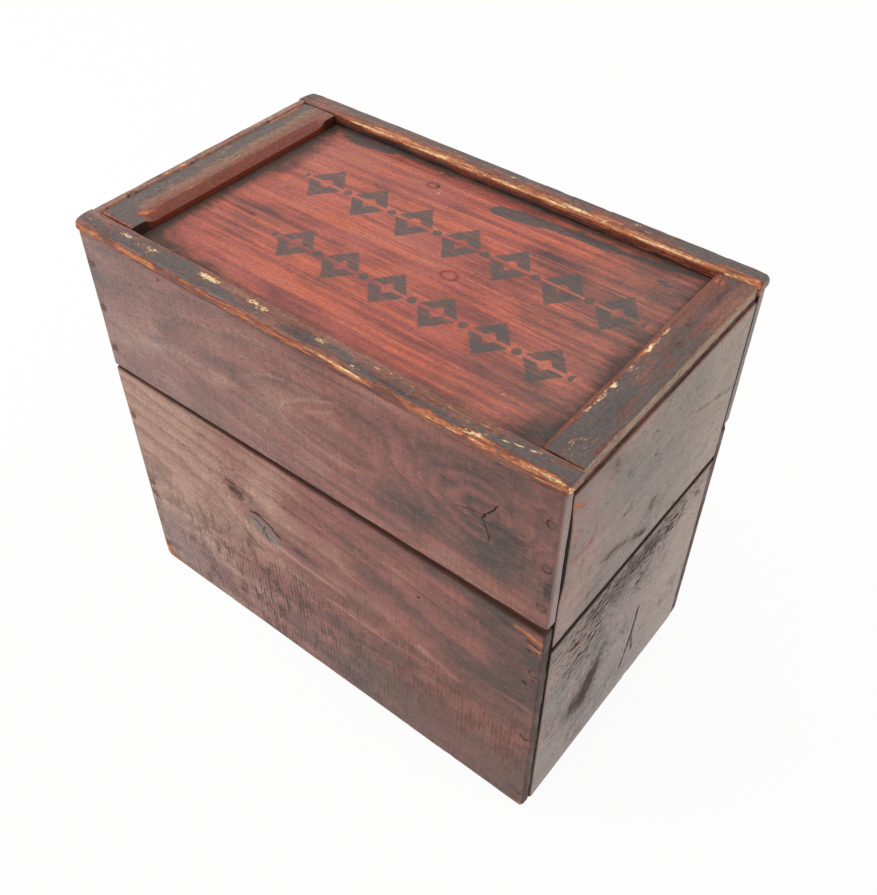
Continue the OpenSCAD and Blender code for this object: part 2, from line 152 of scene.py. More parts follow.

# Marks at known places, as along and up on each board. A spot is its centre, half sizes, turn if it has
# one, and strength; a line is its points, width, blur and strength. tone pales or darkens, mark is a crack,
# rub is wood rubbed bare, slate is blue-grey paint or dirt, knot is grey heartwood, dash is a field of small
# dark strokes, chip is a field where splinters have come away, grime is dirt and painted shade, stain is
# deep red-brown and bloom is milky varnish and a painted sheen of reflected light. On the top of the box
# along is x and up is y.
MARKS = {
    "front_upper_board": {
        "tone": (
            ((127, 226), (20, 12), -0.26), ((104, 238), (34, 17), -0.1),
            ((-122, 201), (13, 4), -0.2, 0.22), ((-57, 214), (13, 4), 0.35, 0.24),
            ((118, 184), (38, 7), -0.05, 0.2), ((76, 222), (32, 22), 0.1, -0.1),
            (((37, 207), (10, 208), (-8, 213), (-13, 220), (-8, 227), (6, 236), (29, 247)), 1.0, 1.6,
             0.3),
            (((-40, 226), (-30, 232), (-20, 238), (-6, 242)), 1.0, 1.4, 0.28),
            (((52, 212), (24, 211), (4, 215), (0, 221), (8, 229), (24, 238)), 0.8, 1.6, 0.2),
            (((-131, 203), (-91, 217), (-51, 218)), 1.4, 2.5, 0.2),
            (((-40, 189), (10, 191), (70, 188)), 1.5, 3.0, 0.18)),
        "mark": (
            (((119.2, 239.8), (117.4, 234.5), (114.8, 232.0), (112.9, 226.5)), 0.55, 0.5, 1.0),
            (((112.9, 226.5), (114.3, 222.0), (116.2, 219.0), (116.5, 213.8)), 0.35, 0.5, 0.85),
            (((113.0, 228.5), (106.0, 228.0), (98.4, 225.3)), 0.35, 0.5, 0.55),
            (((-90.7, 262.0), (-90.3, 262.6)), 1.1, 0.4, 1.0)),
        "slate": (((149, 203), (4, 12), 0.62), ((134, 227), (13, 7), 0.5), ((92, 240), (10, 5), 0.2, 0.4)),
        "dash": (((-25, 256), (60, 7), 0.5), ((-120, 250), (30, 9), 0.45)),
        "stain": (((122, 183), (28, 6), 0.34),),
    },
    "front_lower_board": {
        "tone": (
            ((88, 36), (24, 11), 0.25, -0.34), ((-62, 127), (9, 6.5), -0.8, -0.3),
            ((-6, 106.5), (15, 4), -0.1, -0.3), ((-33, 138), (12, 12), 0.4),
            ((-100, 108), (30, 9), 0.25, 0.12), ((-72, 103), (14, 6), -0.5, 0.26),
            ((-36, 95), (9, 4), 0.1, 0.15), ((140, 132), (14, 10), -0.14), ((108, 118), (44, 30), -0.08),
            (((-56, 105), (-54, 93), (-45, 87), (-32, 84.5), (-13, 80.5), (18, 79), (47, 77.5),
             (89, 83.5), (103, 85.6)), 0.6, 0.8, 0.5),
            (((76, 93), (90, 90), (102, 86.6)), 4.6, 1.2, 0.42),
            (((-30, 99.2), (-15, 97), (2, 95.6), (22, 95)), 2.8, 1.8, 0.42),
            (((106, 99), (119, 101.6), (145, 102.4)), 2.2, 2.6, 0.26),
            (((113.2, 151.5), (113.8, 147)), 0.6, 0.7, 0.5)),
        "mark": (
            (((-50.9, 116.2), (-46, 117.6), (-42.2, 117.3), (-35.2, 114.2), (-27.6, 108.5)), 1.0, 0.7,
             1.0),
            (((-47.2, 111.6), (-43, 110.2), (-40.6, 106.7), (-38.6, 101), (-36.8, 98.4)), 0.35, 0.5,
             0.85),
            (((-38.6, 110.4), (-40.6, 106.7), (-42.3, 101.6)), 0.3, 0.5, 0.8),
            (((-60, 107), (-57.5, 95), (-49, 87.5), (-36, 83)), 0.7, 1.2, 0.34),
            (((-55, 109), (-53, 99), (-46, 92.5), (-36, 89.5)), 0.5, 1.2, 0.26),
            (((75.1, 137.9), (75.5, 138.2)), 1.1, 0.5, 1.0),
            (((142.0, 161.5), (149.0, 159.5)), 0.6, 0.6, 0.8),
            (((142.5, 153.8), (148.0, 154.0)), 0.6, 0.6, 0.7),
            (((142.2, 124.6), (143.6, 123.8)), 1.0, 0.7, 0.9),
            (((147.6, 130.6), (149, 130)), 0.8, 0.7, 0.8)),
        "rub": (
            (((134.5, 167.4), (140, 167.2)), 1.6, 1.4, 0.75),
            (((142, 166.8), (150, 165.0)), 2.6, 1.4, 0.95),
            (((143.2, 157.8), (149.4, 156.6)), 1.4, 1.2, 0.85),
            (((7, 153.4), (11, 147.8)), 0.9, 1.0, 0.62), (((12, 146.4), (15.9, 141.9)), 1.0, 1.0, 0.62),
            ((-151, 6), (7, 15), -0.5, 0.6), ((151, 2), (9, 5), 0.5),
            (((-151, 14), (-148, 5), (-128, 1.5)), 2.4, 3.0, 0.5)),
        "slate": (
            ((-60, 126), (12, 7.5), -0.8, 0.6), ((90, 38), (17, 8), 0.25, 0.25),
            ((-146, 66), (5, 7), 0.6), ((-10, 107), (12, 3), 0.5)),
        "knot": (((-39.4, 107.0), (14, 8), -0.42, 1.0),),
        "dash": (
            ((-80, 130), (40, 22), 0.7), ((-62, 127), (13, 9), -0.8, 1.1), ((-10, 145), (60, 14), 0.5),
            ((90, 80), (70, 60), 0.4)),
        "stain": (((104, 40), (68, 70), 0.42),),
        "bloom": (((-140, 20), (50, 40), 0.45), ((40, 20), (100, 26), 0.12)),
    },
    "right_upper_board": {
        "tone": (
            ((2, 178), (7, 9), -0.6, -0.3), ((24, 196), (6, 9), 0.4, -0.12),
            ((-45, 249), (16, 6), -0.9, -0.12), ((-8, 215), (28, 22), -0.22),
            ((-60, 200), (20, 40), 0.24), ((30, 222), (26, 14), 0.1), ((-60, 205), (14, 20), 0.06)),
        "slate": (
            ((3, 181), (5.5, 7), -0.6, 0.62), ((15, 174), (6, 5), 0.36),
            (((-42, 182), (-26, 177), (-15, 171), (1, 163)), 4.0, 7.0, 0.56),
            ((-47, 249), (14, 6), -0.9, 0.46), ((-50, 165), (14, 8), 0.3, 0.42)),
        "mark": ((((35, 222), (60, 213.5), (83, 205.4)), 0.3, 0.6, 0.4),),
        "rub": (
            (((-83, 254.5), (-73, 249)), 2.6, 2.4, 0.75),
            (((-78, 211), (-68, 212), (-58, 211.6)), 1.4, 2.0, 0.72),
            (((-79, 232), (-75, 226)), 1.6, 2.0, 0.6), (((-78, 187), (-75, 195)), 2.0, 2.4, 0.62)),
    },
    "right_lower_board": {
        "tone": (
            ((56, 80), (34, 46), 0.36), ((-32, 58), (8, 20), -0.3, -0.3),
            ((-52, 58), (8, 10), -0.3, -0.16)),
        "slate": (
            ((-33, 60), (9.5, 21), -0.3, 1.1), ((-50, 54), (9, 13), -0.3, 0.62),
            ((0, 142), (60, 5), 0.42), ((-20, 84), (5, 8), -0.3, 0.5), ((-10, 128), (16, 8), 0.3, 0.42)),
        "mark": (
            (((19.1, 77.5), (19.0, 68), (17.5, 52), (14.5, 39), (10.9, 26.4)), 1.1, 1.0, 1.0),
            (((17.5, 52), (20.5, 42), (23.3, 30.3)), 0.5, 0.7, 0.9)),
        "dash": (
            ((-6, 138), (66, 12), 1.5), ((-46, 112), (28, 24), 1.4), ((12, 112), (12, 14), 1.2),
            ((40, 132), (30, 8), 0.9)),
    },
    "back_upper_board": {
        "tone": (
            ((-60, 215), (40, 9), 0.1, 0.2), ((90, 238), (30, 8), -0.1, -0.2),
            (((140, 205), (90, 214), (52, 212), (20, 222), (-30, 226)), 1.2, 2.2, 0.2)),
        "slate": (((-120, 196), (14, 6), 0.2, 0.5), ((44, 186), (20, 4), 0.45)),
        "mark": ((((-70, 236), (-52, 234), (-30, 234.6)), 0.7, 0.9, 0.8),),
        "knot": (((62, 224), (8, 5), 0.3, 0.9),),
        "dash": (((0, 220), (110, 30), 0.5),),
    },
    "back_lower_board": {
        "tone": (
            ((70, 60), (40, 14), 0.2, -0.22), ((-90, 120), (40, 14), 0.2),
            (((-140, 92), (-70, 98), (-20, 92), (60, 96)), 1.4, 2.4, 0.2)),
        "slate": (((-30, 40), (22, 7), -0.2, 0.5), ((110, 130), (18, 8), 0.1, 0.45)),
        "mark": (
            (((92, 120), (84, 112), (82, 103)), 0.8, 0.9, 0.9), (((84, 112), (74, 110)), 0.6, 0.9, 0.7)),
        "knot": (((84, 112), (9, 6), 0.2, 0.9),),
        "dash": (((0, 120), (120, 40), 0.5),),
    },
    "left_upper_board": {
        "tone": (((-30, 220), (30, 9), 0.1, 0.2), ((40, 190), (22, 9), -0.2)),
        "slate": (((48, 240), (14, 6), 0.2, 0.5), ((-52, 176), (16, 5), 0.45)),
        "mark": ((((-82, 232), (-60, 230), (-44, 231)), 0.7, 0.9, 0.85),),
        "dash": (((0, 210), (60, 30), 0.5),),
        "chip": (
            ((-51, 272.4), (5, 2), 0.58), ((-30, 272.4), (6, 2), 0.62), ((-19, 272.4), (4, 2), 0.74),
            ((-2, 272.4), (7, 2), 0.6), ((24, 272.4), (9, 2), 0.5), ((50, 272.4), (6, 2), 0.5)),
    },
    "left_lower_board": {
        "tone": (((20, 100), (34, 12), 0.1, 0.2), ((-40, 40), (24, 10), -0.2)),
        "slate": (((46, 50), (12, 9), 0.2, 0.5), ((-30, 138), (30, 5), 0.4)),
        "mark": ((((24, 92), (21, 74), (23, 58)), 0.8, 0.9, 0.9),),
        "dash": (((0, 110), (70, 34), 0.6),),
    },
    "front_rail": {
        "chip": (
            *(((x, y), (4.4, 1.8), 0.12, 0.52) for x, y in ((-145, -85), (-121, -83), (-118.5, -83.8),
             (-108, -86), (-99, -84), (-97, -87), (-62, -82), (-60, -82.6), (-55, -83), (-41, -81),
             (-31, -83), (-28, -82.2), (-23, -84), (-20, -83), (14, -84), (17, -83.2), (56, -81),
             (67, -82), (69, -86), (86, -82), (97, -85), (104, -88.5), (108.5, -88), (111, -84.5))),
            ((48, -82), (2.6, 1.4), 0.1, 0.9), ((106, -82), (3.6, 1.0), 0.2, 0.7),
            ((39, -88.3), (4.2, 1.4), 0.7), ((100, -90.5), (9, 1.6), 0.5),
            ((128, -90.2), (10, 1.8), 0.55), ((145, -90), (9, 2.0), 0.8),
            (((117, -84.2), (125, -82.6), (133, -81)), 0.6, 1.2, 0.95),
            (((-150, -78.3), (150, -78.3)), 0.5, 1.0, 0.4), (((-116, -83), (-52, -82)), 1.6, 2.4, 0.4)),
        "rub": (
            (((99, -82.6), (106, -83.4), (112, -82.4)), 0.5, 0.7, 0.75),
            (((138, -81.5), (148, -80.2)), 0.5, 0.7, 0.7), (((70, -84.4), (92, -83.4)), 0.4, 0.7, 0.75)),
    },
    "back_rail": {
        "rub": (
            (((-122, 79.4), (-104, 80.0), (-88, 80.6)), 2.4, 1.6, 0.66),
            (((-92, 80.2), (-70, 80.0), (-46, 79.6), (-22, 79.2)), 4.6, 2.2, 0.95),
            (((-44, 84.6), (-34, 85.2), (-26, 85.6)), 0.9, 0.9, 0.8),
            (((-20, 79.2), (-4, 79.0), (8, 79.2)), 2.6, 1.8, 0.6),
            (((10, 80.0), (22, 80.2), (36, 80.4)), 3.8, 2.2, 0.85),
            (((36, 80.0), (54, 79.4), (64, 79.6)), 3.2, 2.0, 0.9),
            (((54, 82.6), (72, 82.6)), 2.0, 2.0, 0.6),
            (((76, 80.6), (98, 79.8), (124, 79.0)), 1.8, 1.6, 0.85),
            (((98, 79.0), (112, 78.6), (126, 78.8)), 1.4, 1.4, 0.8),
            (((128, 82.0), (140, 82.4), (150, 80.6)), 1.0, 1.6, 0.85), ((62, 83), (10, 2.4), 0.35),
            ((-2, 83), (10, 3), 0.3), ((149, 82), (3.0, 3.0), 0.5)),
        "chip": (
            (((-80, 82.4), (-60, 82.0), (-40, 81.6), (-22, 81.0)), 1.4, 2.0, 0.52),
            ((-34, 85.2), (8, 1.2), 0.05, 0.62), (((10, 81.5), (22, 81.8), (36, 82.0)), 2.0, 2.4, 0.46),
            (((36, 81.0), (54, 80.2), (66, 80.6)), 2.0, 2.0, 0.72),
            (((80, 81.6), (98, 80.2), (124, 79.0)), 0.8, 2.0, 0.6),
            (((128, 82.0), (140, 82.4), (150, 80.6)), 0.8, 2.0, 0.6), ((1.6, 85.5), (4.0, 1.4), 0.2, 0.8),
            ((46, 80), (5.0, 1.2), 0.8), ((79.5, 87.3), (3.4, 1.3), 0.2, 0.85),
            ((86.5, 84.7), (3.0, 1.1), 0.7)),
    },
    "left_batten": {
        "rub": (
            ((-130, -65), (5, 2.4), 0.7, 0.75), ((-127.4, -58), (2.6, 6), 0.7),
            ((-132, -49), (4, 1.8), 0.4, 0.5), (((-145.6, 46), (-145.2, 70)), 0.6, 0.7, 0.95),
            (((-142.6, 50), (-143.4, 66)), 0.5, 0.7, 0.7)),
    },
    "right_batten": {
        "chip": (
            *(((x, y), (1.3, 4.0), -0.1, 0.44) for x, y in ((133.6, 10.7), (134.1, 3.4), (133.8, 5.6),
             (134.2, -11.6), (134, -14), (133.8, -23.4), (137.6, -27.2), (144.9, -32.3), (139.5, -4.5),
             (138.5, -18.4), (133.9, -34.5), (133.6, -47.5), (133.5, -39.7), (140.5, -72.7),
             (143.9, -74.8), (144.6, -66.3), (138.5, -68), (141.5, -62), (136.5, -58), (146, -58),
             (133.8, 20), (134, 31), (137.2, -9.5))),
            ((134.2, -27.1), (1.4, 2.0), 0.2, 0.8), (((133.6, 24), (134, -8)), 0.8, 2.0, 0.36),
            (((134, -26), (133.6, -56)), 0.8, 2.0, 0.32), ((141, -67), (7, 9), 0.17)),
        "rub": (
            ((147, 0), (2.4, 12), 0.26), ((135, 70), (3.5, 6), 0.2, 0.72),
            ((147.5, -40), (2.0, 16), 0.26), (((132.2, 30), (132.5, -8)), 1.2, 2.4, 0.52),
            (((132.4, -8), (132.0, -60)), 1.0, 2.2, 0.44)),
    },
    "lid_panel": {
        "slate": (
            ((-100, 72), (13, 3.4), -0.05, 1.0), ((-85.5, 72.8), (12, 3.8), 0.1, 0.9),
            ((-72, 76.7), (16, 3.2), 0.1, 0.9), (((-44, 81), (-30, 80.4), (-16, 82.0)), 4.4, 2.4, 1.0),
            (((2, 80.6), (12, 79.8), (24, 79.2)), 4.6, 2.4, 1.0),
            (((9, 62.4), (20, 64.8), (33, 66.2)), 8.0, 1.6, 1.25),
            (((30, 66.2), (52.5, 68.8), (77, 69.2)), 6.0, 1.8, 1.25),
            (((74, 69.4), (90, 71), (103, 72.8), (119, 75.5)), 2.6, 1.8, 1.1),
            ((108.7, 60.6), (3.2, 2.0), 0.3, 0.8), (((110, 60), (114, 59.2), (119, 60.5)), 1.4, 1.2, 0.7),
            ((124, -64), (8, 10), 0.3, 0.6), ((-33.7, 61.1), (3.2, 1.4), 0.4, 0.7),
            ((-30.6, 59.8), (1.4, 1.8), 0.7)),
        "grime": (
            ((-112, -68), (18, 14), 0.1, 0.45), ((-80, -74), (34, 10), 0.3), ((-40, -77), (30, 5), 0.2),
            ((116, -66), (18, 12), 0.4, 0.5), ((122, -20), (8, 40), 0.3), ((112, 58), (16, 16), 0.3),
            ((-112, 30), (9, 40), 0.35)),
        "mark": (
            (((-118, -23.1), (-104, -22.7), (-89, -21.9)), 0.4, 0.7, 0.7),
            (((-96, 8.4), (-94, 8.0)), 0.8, 0.6, 0.6)),
        "chip": (
            ((-29, 75), (1.6, 1.1), 0.85), ((-27, 55.5), (1.4, 1.0), 0.85), ((-39, 74), (1.6, 1.1), 0.85),
            ((96, -56), (1.6, 1.0), 0.8)),
        "rub": (
            (((-107, 4.2), (-76, 2.4), (-44, 0)), 0.8, 1.2, 0.6),
            (((-92, 42.4), (-61, 41)), 0.7, 1.0, 0.66), (((-20, 47), (4, 46)), 0.5, 0.9, 0.6),
            (((-50, -12), (10, -13.6)), 0.6, 1.0, 0.55), (((40, 6.4), (92, 5.2)), 0.6, 1.0, 0.6)),
        "tone": (((34, -60), (50, 14), 0.11),),
    },
}


def node_box(name):
    """Lowest and highest corner of a CAD node, in millimetres to the nearest thousandth."""
    low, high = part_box(name)
    return (np.array(low) / MM).round(3), (np.array(high) / MM).round(3)


def ease(value, start, end):
    """0 before start, 1 after end, and a smooth S between them."""
    t = np.clip((value - start) / (end - start), 0, 1)
    return t * t * (3 - 2 * t)


def most(*strengths):
    """The strongest of several marks at each point."""
    return reduce(np.maximum, strengths)


def scatter(cells, seed):
    """A number from 0 to 1 for each whole-number cell, as if at random, the same every time."""
    mixed = cells @ np.array([374761393, 668265263, 1442695041]) + seed * 974711
    mixed = (mixed ^ (mixed >> 13)) * 1274126177
    mixed = (mixed ^ (mixed >> 16)) & 0xFFFFFF
    return mixed / 0xFFFFFF


def noise(places, size, seed):
    """Smooth random value from 0 to 1: one number at each corner of cells of that size, blended between."""
    cells = places / np.array(size, float)
    base = np.floor(cells).astype(np.int64)
    part = cells - base
    part = part * part * (3 - 2 * part)
    total = np.zeros(len(places))
    for corner in itertools.product((0, 1), repeat=3):
        share = np.prod(np.where(corner, part, 1 - part), axis=1)
        total += share * scatter(base + np.array(corner), seed)
    return total


def patterns(flat, seed):
    """A piece's own noise as two calls, one from 0 to 1 and one about nought: each takes the cells' size and
    the number of the pattern. Along an axis where cells are FAR in size it stays the same."""
    def wave(size, number=0):
        return noise(flat, size, seed + number)

    def sway(size, number):
        return wave(size, number) - 0.5

    return wave, sway


def beside(places, edge, reach):
    """1 on an edge, falling off as a bell curve over reach. edge gives a coordinate for each axis."""
    gap = sum((places[:, axis] - value) ** 2 for axis, value in edge.items())
    return np.exp(-gap / reach ** 2)


def blot(across, up, centre, half, turn=0.0):
    """1 in the middle of an oval spot, falling off as a bell curve over its half width and height."""
    dx, dy = across - centre[0], up - centre[1]
    c, s = math.cos(turn), math.sin(turn)
    return np.exp(-((dx * c + dy * s) / half[0]) ** 2 - ((dy * c - dx * s) / half[1]) ** 2)


def line_mark(across, up, points, width, blur):
    """1 on a line through the points and 0 beyond half its width, with a soft edge."""
    nearest = np.full(len(across), 1e9)
    for (x0, y0), (x1, y1) in zip(points, points[1:]):
        dx, dy = x1 - x0, y1 - y0
        t = np.clip(((across - x0) * dx + (up - y0) * dy) / (dx * dx + dy * dy), 0, 1)
        nearest = np.minimum(nearest, np.hypot(across - x0 - t * dx, up - y0 - t * dy))
    return 1 - ease(nearest, width / 2 - blur / 2, width / 2 + blur)


def placed(name, kind, along, up):
    """Strength of one kind of mark over a board: its spots added up, and the strongest of its lines."""
    total = np.zeros(len(along))
    lines = np.zeros(len(along))
    for where, size, *more, strength in MARKS.get(name, {}).get(kind, ()):
        if isinstance(size, tuple):
            total += strength * blot(along, up, where, size, *more)
        else:
            lines = np.maximum(lines, strength * line_mark(along, up, where, size, *more))
    return total + lines


def grid_lines(low, high, step, extra=()):
    """Places of the grid lines along one side: close by both ends, step apart between, and extra ones."""
    span = high - low
    near = EDGE_LINES[EDGE_LINES < span / 2 - 0.2]
    count = max(2, math.ceil((span - 2 * near[-1]) / step) + 1)
    middle = np.linspace(near[-1], span - near[-1], count)
    lines = np.concatenate([near, middle, span - near, np.asarray(extra, float) - low])
    lines = np.unique(lines[(lines >= 0) & (lines <= span)].round(3))
    return low + lines[np.append(np.diff(lines) > 0.06, True)]


def windows(*spans):
    """Fine grid lines over each span."""
    return np.concatenate([np.arange(a, b, FINE_STEP) for a, b in spans])


def cheek_lines(middle, half):
    """Two close grid lines at each side of a tongue, a groove or a lip, for the sharp step there."""
    return [middle - half - STEP_GAP, middle - half, middle + half, middle + half + STEP_GAP]


def block(lines, plain):
    """Closed skin of a block whose grid lines are given along x, y and z: its points, and faces that look
    out. plain is the axis and the end of a hidden face, which is made of strips right across it."""
    counts = [len(line) for line in lines]
    numbers = np.arange(np.prod(counts)).reshape(counts)
    quads, ends, smooth = [], [], []
    for axis, last in itertools.product(range(3), (False, True)):
        sheet = np.moveaxis(numbers, axis, 0)[-1 if last else 0]
        facing = 1 if last != (axis == 1) else -1
        if (axis, last) == plain:
            found = np.stack([sheet[1:-2, 0], sheet[2:-1, 0], sheet[2:-1, -1], sheet[1:-2, -1]], -1)
            ends = [np.concatenate([sheet[1, [0, -1]], sheet[0, ::-1]])[::facing],
                    np.concatenate([sheet[-2, [0]], sheet[-1], sheet[-2, [-1]]])[::facing]]
        else:
            found = np.stack([sheet[:-1, :-1], sheet[1:, :-1], sheet[1:, 1:], sheet[:-1, 1:]], -1)
            found = found.reshape(-1, 4)
        quads.append(found[:, ::facing])
        smooth += [(axis, last) != plain] * len(found)
    quads = np.concatenate(quads)
    sizes = np.array([4] * len(quads) + [len(end) for end in ends])
    used, corners = np.unique(np.concatenate([quads.ravel(), *ends]), return_inverse=True)
    steps = np.unravel_index(used, counts)
    points = np.stack([line[i] for line, i in zip(lines, steps)], 1)
    return points, (sizes, corners.ravel(), smooth + [False] * len(ends))


def wear_edges(flat, low, high, radius):
    """Rounds a block's edges: each point goes to core + radius * the unit vector from core to it, where
    core is the point held that radius inside the block. Gives the new places and the outward directions."""
    r = np.clip(radius, 0.05, 0.46 * (high - low).min())[:, None]
    core = np.clip(flat, low + r, high - r)
    out = flat - core
    out /= np.linalg.norm(out, axis=1, keepdims=True)
    return core + r * out, out


def round_corner(places, axes, corner, inward, radius):
    """Rounds one corner of an outline: squares about a centre, radius in from it, become circles."""
    a, b = axes
    centre = np.array(corner) + np.array(inward) * radius
    d = places[:, [a, b]] - centre
    inside = ((d * np.array(inward)) < 0).all(1)
    length = np.maximum(np.linalg.norm(d, axis=1), TOUCH)
    shrunk = centre + d * (np.abs(d).max(1) / length)[:, None]
    places[:, [a, b]] = np.where(inside[:, None], shrunk, places[:, [a, b]])


def looks_in(flat, out, axis, face, thick):
    """True on the side of a board that looks into the box, its thickness away from the outer face."""
    return (np.abs(flat[:, axis] - face) > thick - 1.0) & (np.abs(out[:, axis]) > 0.5)


def growth(along, across, through, pith, lean, knots=()):
    """Distance from the log's pith in millimetres. pith is its place across and its depth under the face,
    lean how fast that depth changes along the board. Near each knot the rings swell round it."""
    rings = np.hypot(across - pith[0], through + pith[1] + lean * along)
    for centre, half, swell in knots:
        rings = rings + swell * blot(along, across, centre, half)
    return rings


def make_piece(node, body, slot, places, faces, material, grain, seed, **marks):
    """Makes the mesh that stands in for a CAD node, with its marks as point attributes. grain is its places
    along, across and through the wood."""
    sizes, corners, smooth = faces
    mesh = bpy.data.meshes.new(node + "_worn")
    mesh.vertices.add(len(places))
    mesh.vertices.foreach_set("co", (places * MM).astype(np.float32).ravel())
    mesh.loops.add(len(corners))
    mesh.loops.foreach_set("vertex_index", corners.astype(np.int32))
    mesh.polygons.add(len(sizes))
    mesh.polygons.foreach_set("loop_start", (np.cumsum(sizes) - sizes).astype(np.int32))
    mesh.polygons.foreach_set("use_smooth", np.array(smooth))
    mesh.update(calc_edges=True)
    grain = np.stack([grain[0] + seed * GRAIN_SHIFT, *grain[1:]], 1)
    for key, value in {"grain": grain, **marks}.items():
        vector = value.ndim == 2
        layer = mesh.attributes.new(key, "FLOAT_VECTOR" if vector else "FLOAT", "POINT")
        layer.data.foreach_set("vector" if vector else "value", value.astype(np.float32).ravel())
    mesh.materials.append(material)
    piece = bpy.data.objects.new(node + "_worn", mesh)
    bpy.context.scene.collection.objects.link(piece)
    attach(piece, body)
    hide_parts(node)


def paint(code):
    """An sRGB hex colour as linear red, green, blue and full alpha."""
    parts = [int(code[i:i + 2], 16) / 255 for i in (1, 3, 5)]
    linear = [c / 12.92 if c <= 0.04045 else ((c + 0.055) / 1.055) ** 2.4 for c in parts]
    return (*linear, 1.0)


# The setting that a node's way of working, written after its kind, goes to
WAYS = {"Math": "operation", "VectorMath": "operation", "MixRGB": "blend_type",
        "MapRange": "interpolation_type"}


def add(tree, kind, *inputs, out=0, stops=(), named=None, **settings):
    """Adds a shader node, its way of working after a dot. Inputs, in socket order or named, are sockets to
    link, values to set, or None."""
    kind, _, way = kind.partition(".")
    made = tree.nodes.new("ShaderNode" + kind)
    if way:
        settings[WAYS[kind]] = way
    for key, value in settings.items():
        setattr(made, key, value)
    for i, (place, colour) in enumerate(stops):
        stop = made.color_ramp.elements[i] if i < 2 else made.color_ramp.elements.new(place)
        stop.position, stop.color = place, colour
    pairs = list(zip(made.inputs, inputs)) + [(made.inputs[k], v) for k, v in (named or {}).items()]
    for socket, value in pairs:
        if isinstance(value, bpy.types.NodeSocket):
            tree.links.new(value, socket)
        elif value is not None:
            socket.default_value = value
    return made.outputs[out] if made.outputs else None


def blank(kind, name):
    """A new material or world with no nodes, and the call that adds one to it."""
    made = kind.new(name)
    made.use_nodes = True
    made.node_tree.nodes.clear()
    return made, partial(add, made.node_tree)


# Marks that the meshes carry, read by the wood's shader
ATTRIBUTES = ("ring", "rub", "grime", "tone", "mark", "bare", "saw", "black", "knot", "dash", "gloss",
              "bloom", "chip", "stain")

# Sizes of the patterns in wood, in millimetres along, across and into the grain; then detail and roughness
PATTERNS = {
    "fibre": ((48, 1.0, 1.0), 4.0, 0.62),     # streaks about a millimetre wide
    "line": ((60, 1.0, 1.0), 3.0, 0.6),       # bright fibres, drawn coarse enough to show
    "band": ((100, 4.5, 4.5), 3.0, 0.55),     # bands of warmer wood
    "wander": ((80, 13, 13), 3.0, 0.55),      # slow waver of the rings
    "blotch": ((40, 24, 24), 4.0, 0.55),      # uneven stain
    "fleck": ((5.5, 0.9, 0.9), 2.0, 0.5),     # short dark dashes
    "grit": ((2.6, 1.1, 1.1), 4.0, 0.7),      # dirt in the pores, drawn coarse enough to show
    "scratch": ((1.2, 24, 24), 2.0, 0.5),     # plane and handling scratches across the grain
    "speck": ((3.2, 1.1, 1.1), 4.0, 0.65),    # ragged edges of paint
    "patch": ((13, 4.5, 4.5), 4.0, 0.6),      # ragged edges of dirt
    "splinter": ((16, 1.0, 1.0), 3.0, 0.6),   # wear that follows the grain
    "kerf": ((6.0, 14, 14), 3.0, 0.6),        # saw strokes across the grain
    "shard": ((2.8, 0.7, 0.7), 3.0, 0.7),     # splinters that have come away
}
# Where most values of such a pattern lie
SPAN = (0.3, 0.7)

# Spacing of the saw strokes, height of the wood's relief, and size and depth of the nails' pits
SAW_PITCH = 2.9
RELIEF = 0.25
PIT_SIZE = 1.2
PIT_DEEP = 0.1

# A growth ring from its pale early wood to the sharp dark end of its late wood
RING = [(0.0, (0, 0, 0, 1)), (0.55, (0.4, 0.4, 0.4, 1)), (0.82, (1, 1, 1, 1)), (1.0, (0, 0, 0, 1))]

# Wood inside the box, never stained: early, late and warm
INSIDE_EARLY, INSIDE_LATE, INSIDE_WARM = (paint(code) for code in ("#c49a68", "#8a5f38", "#a87a50"))
# Roughness of dull wood and of matt places
DULL, MATT = (0.75, 0.75, 0.75, 1), (1, 1, 1, 1)


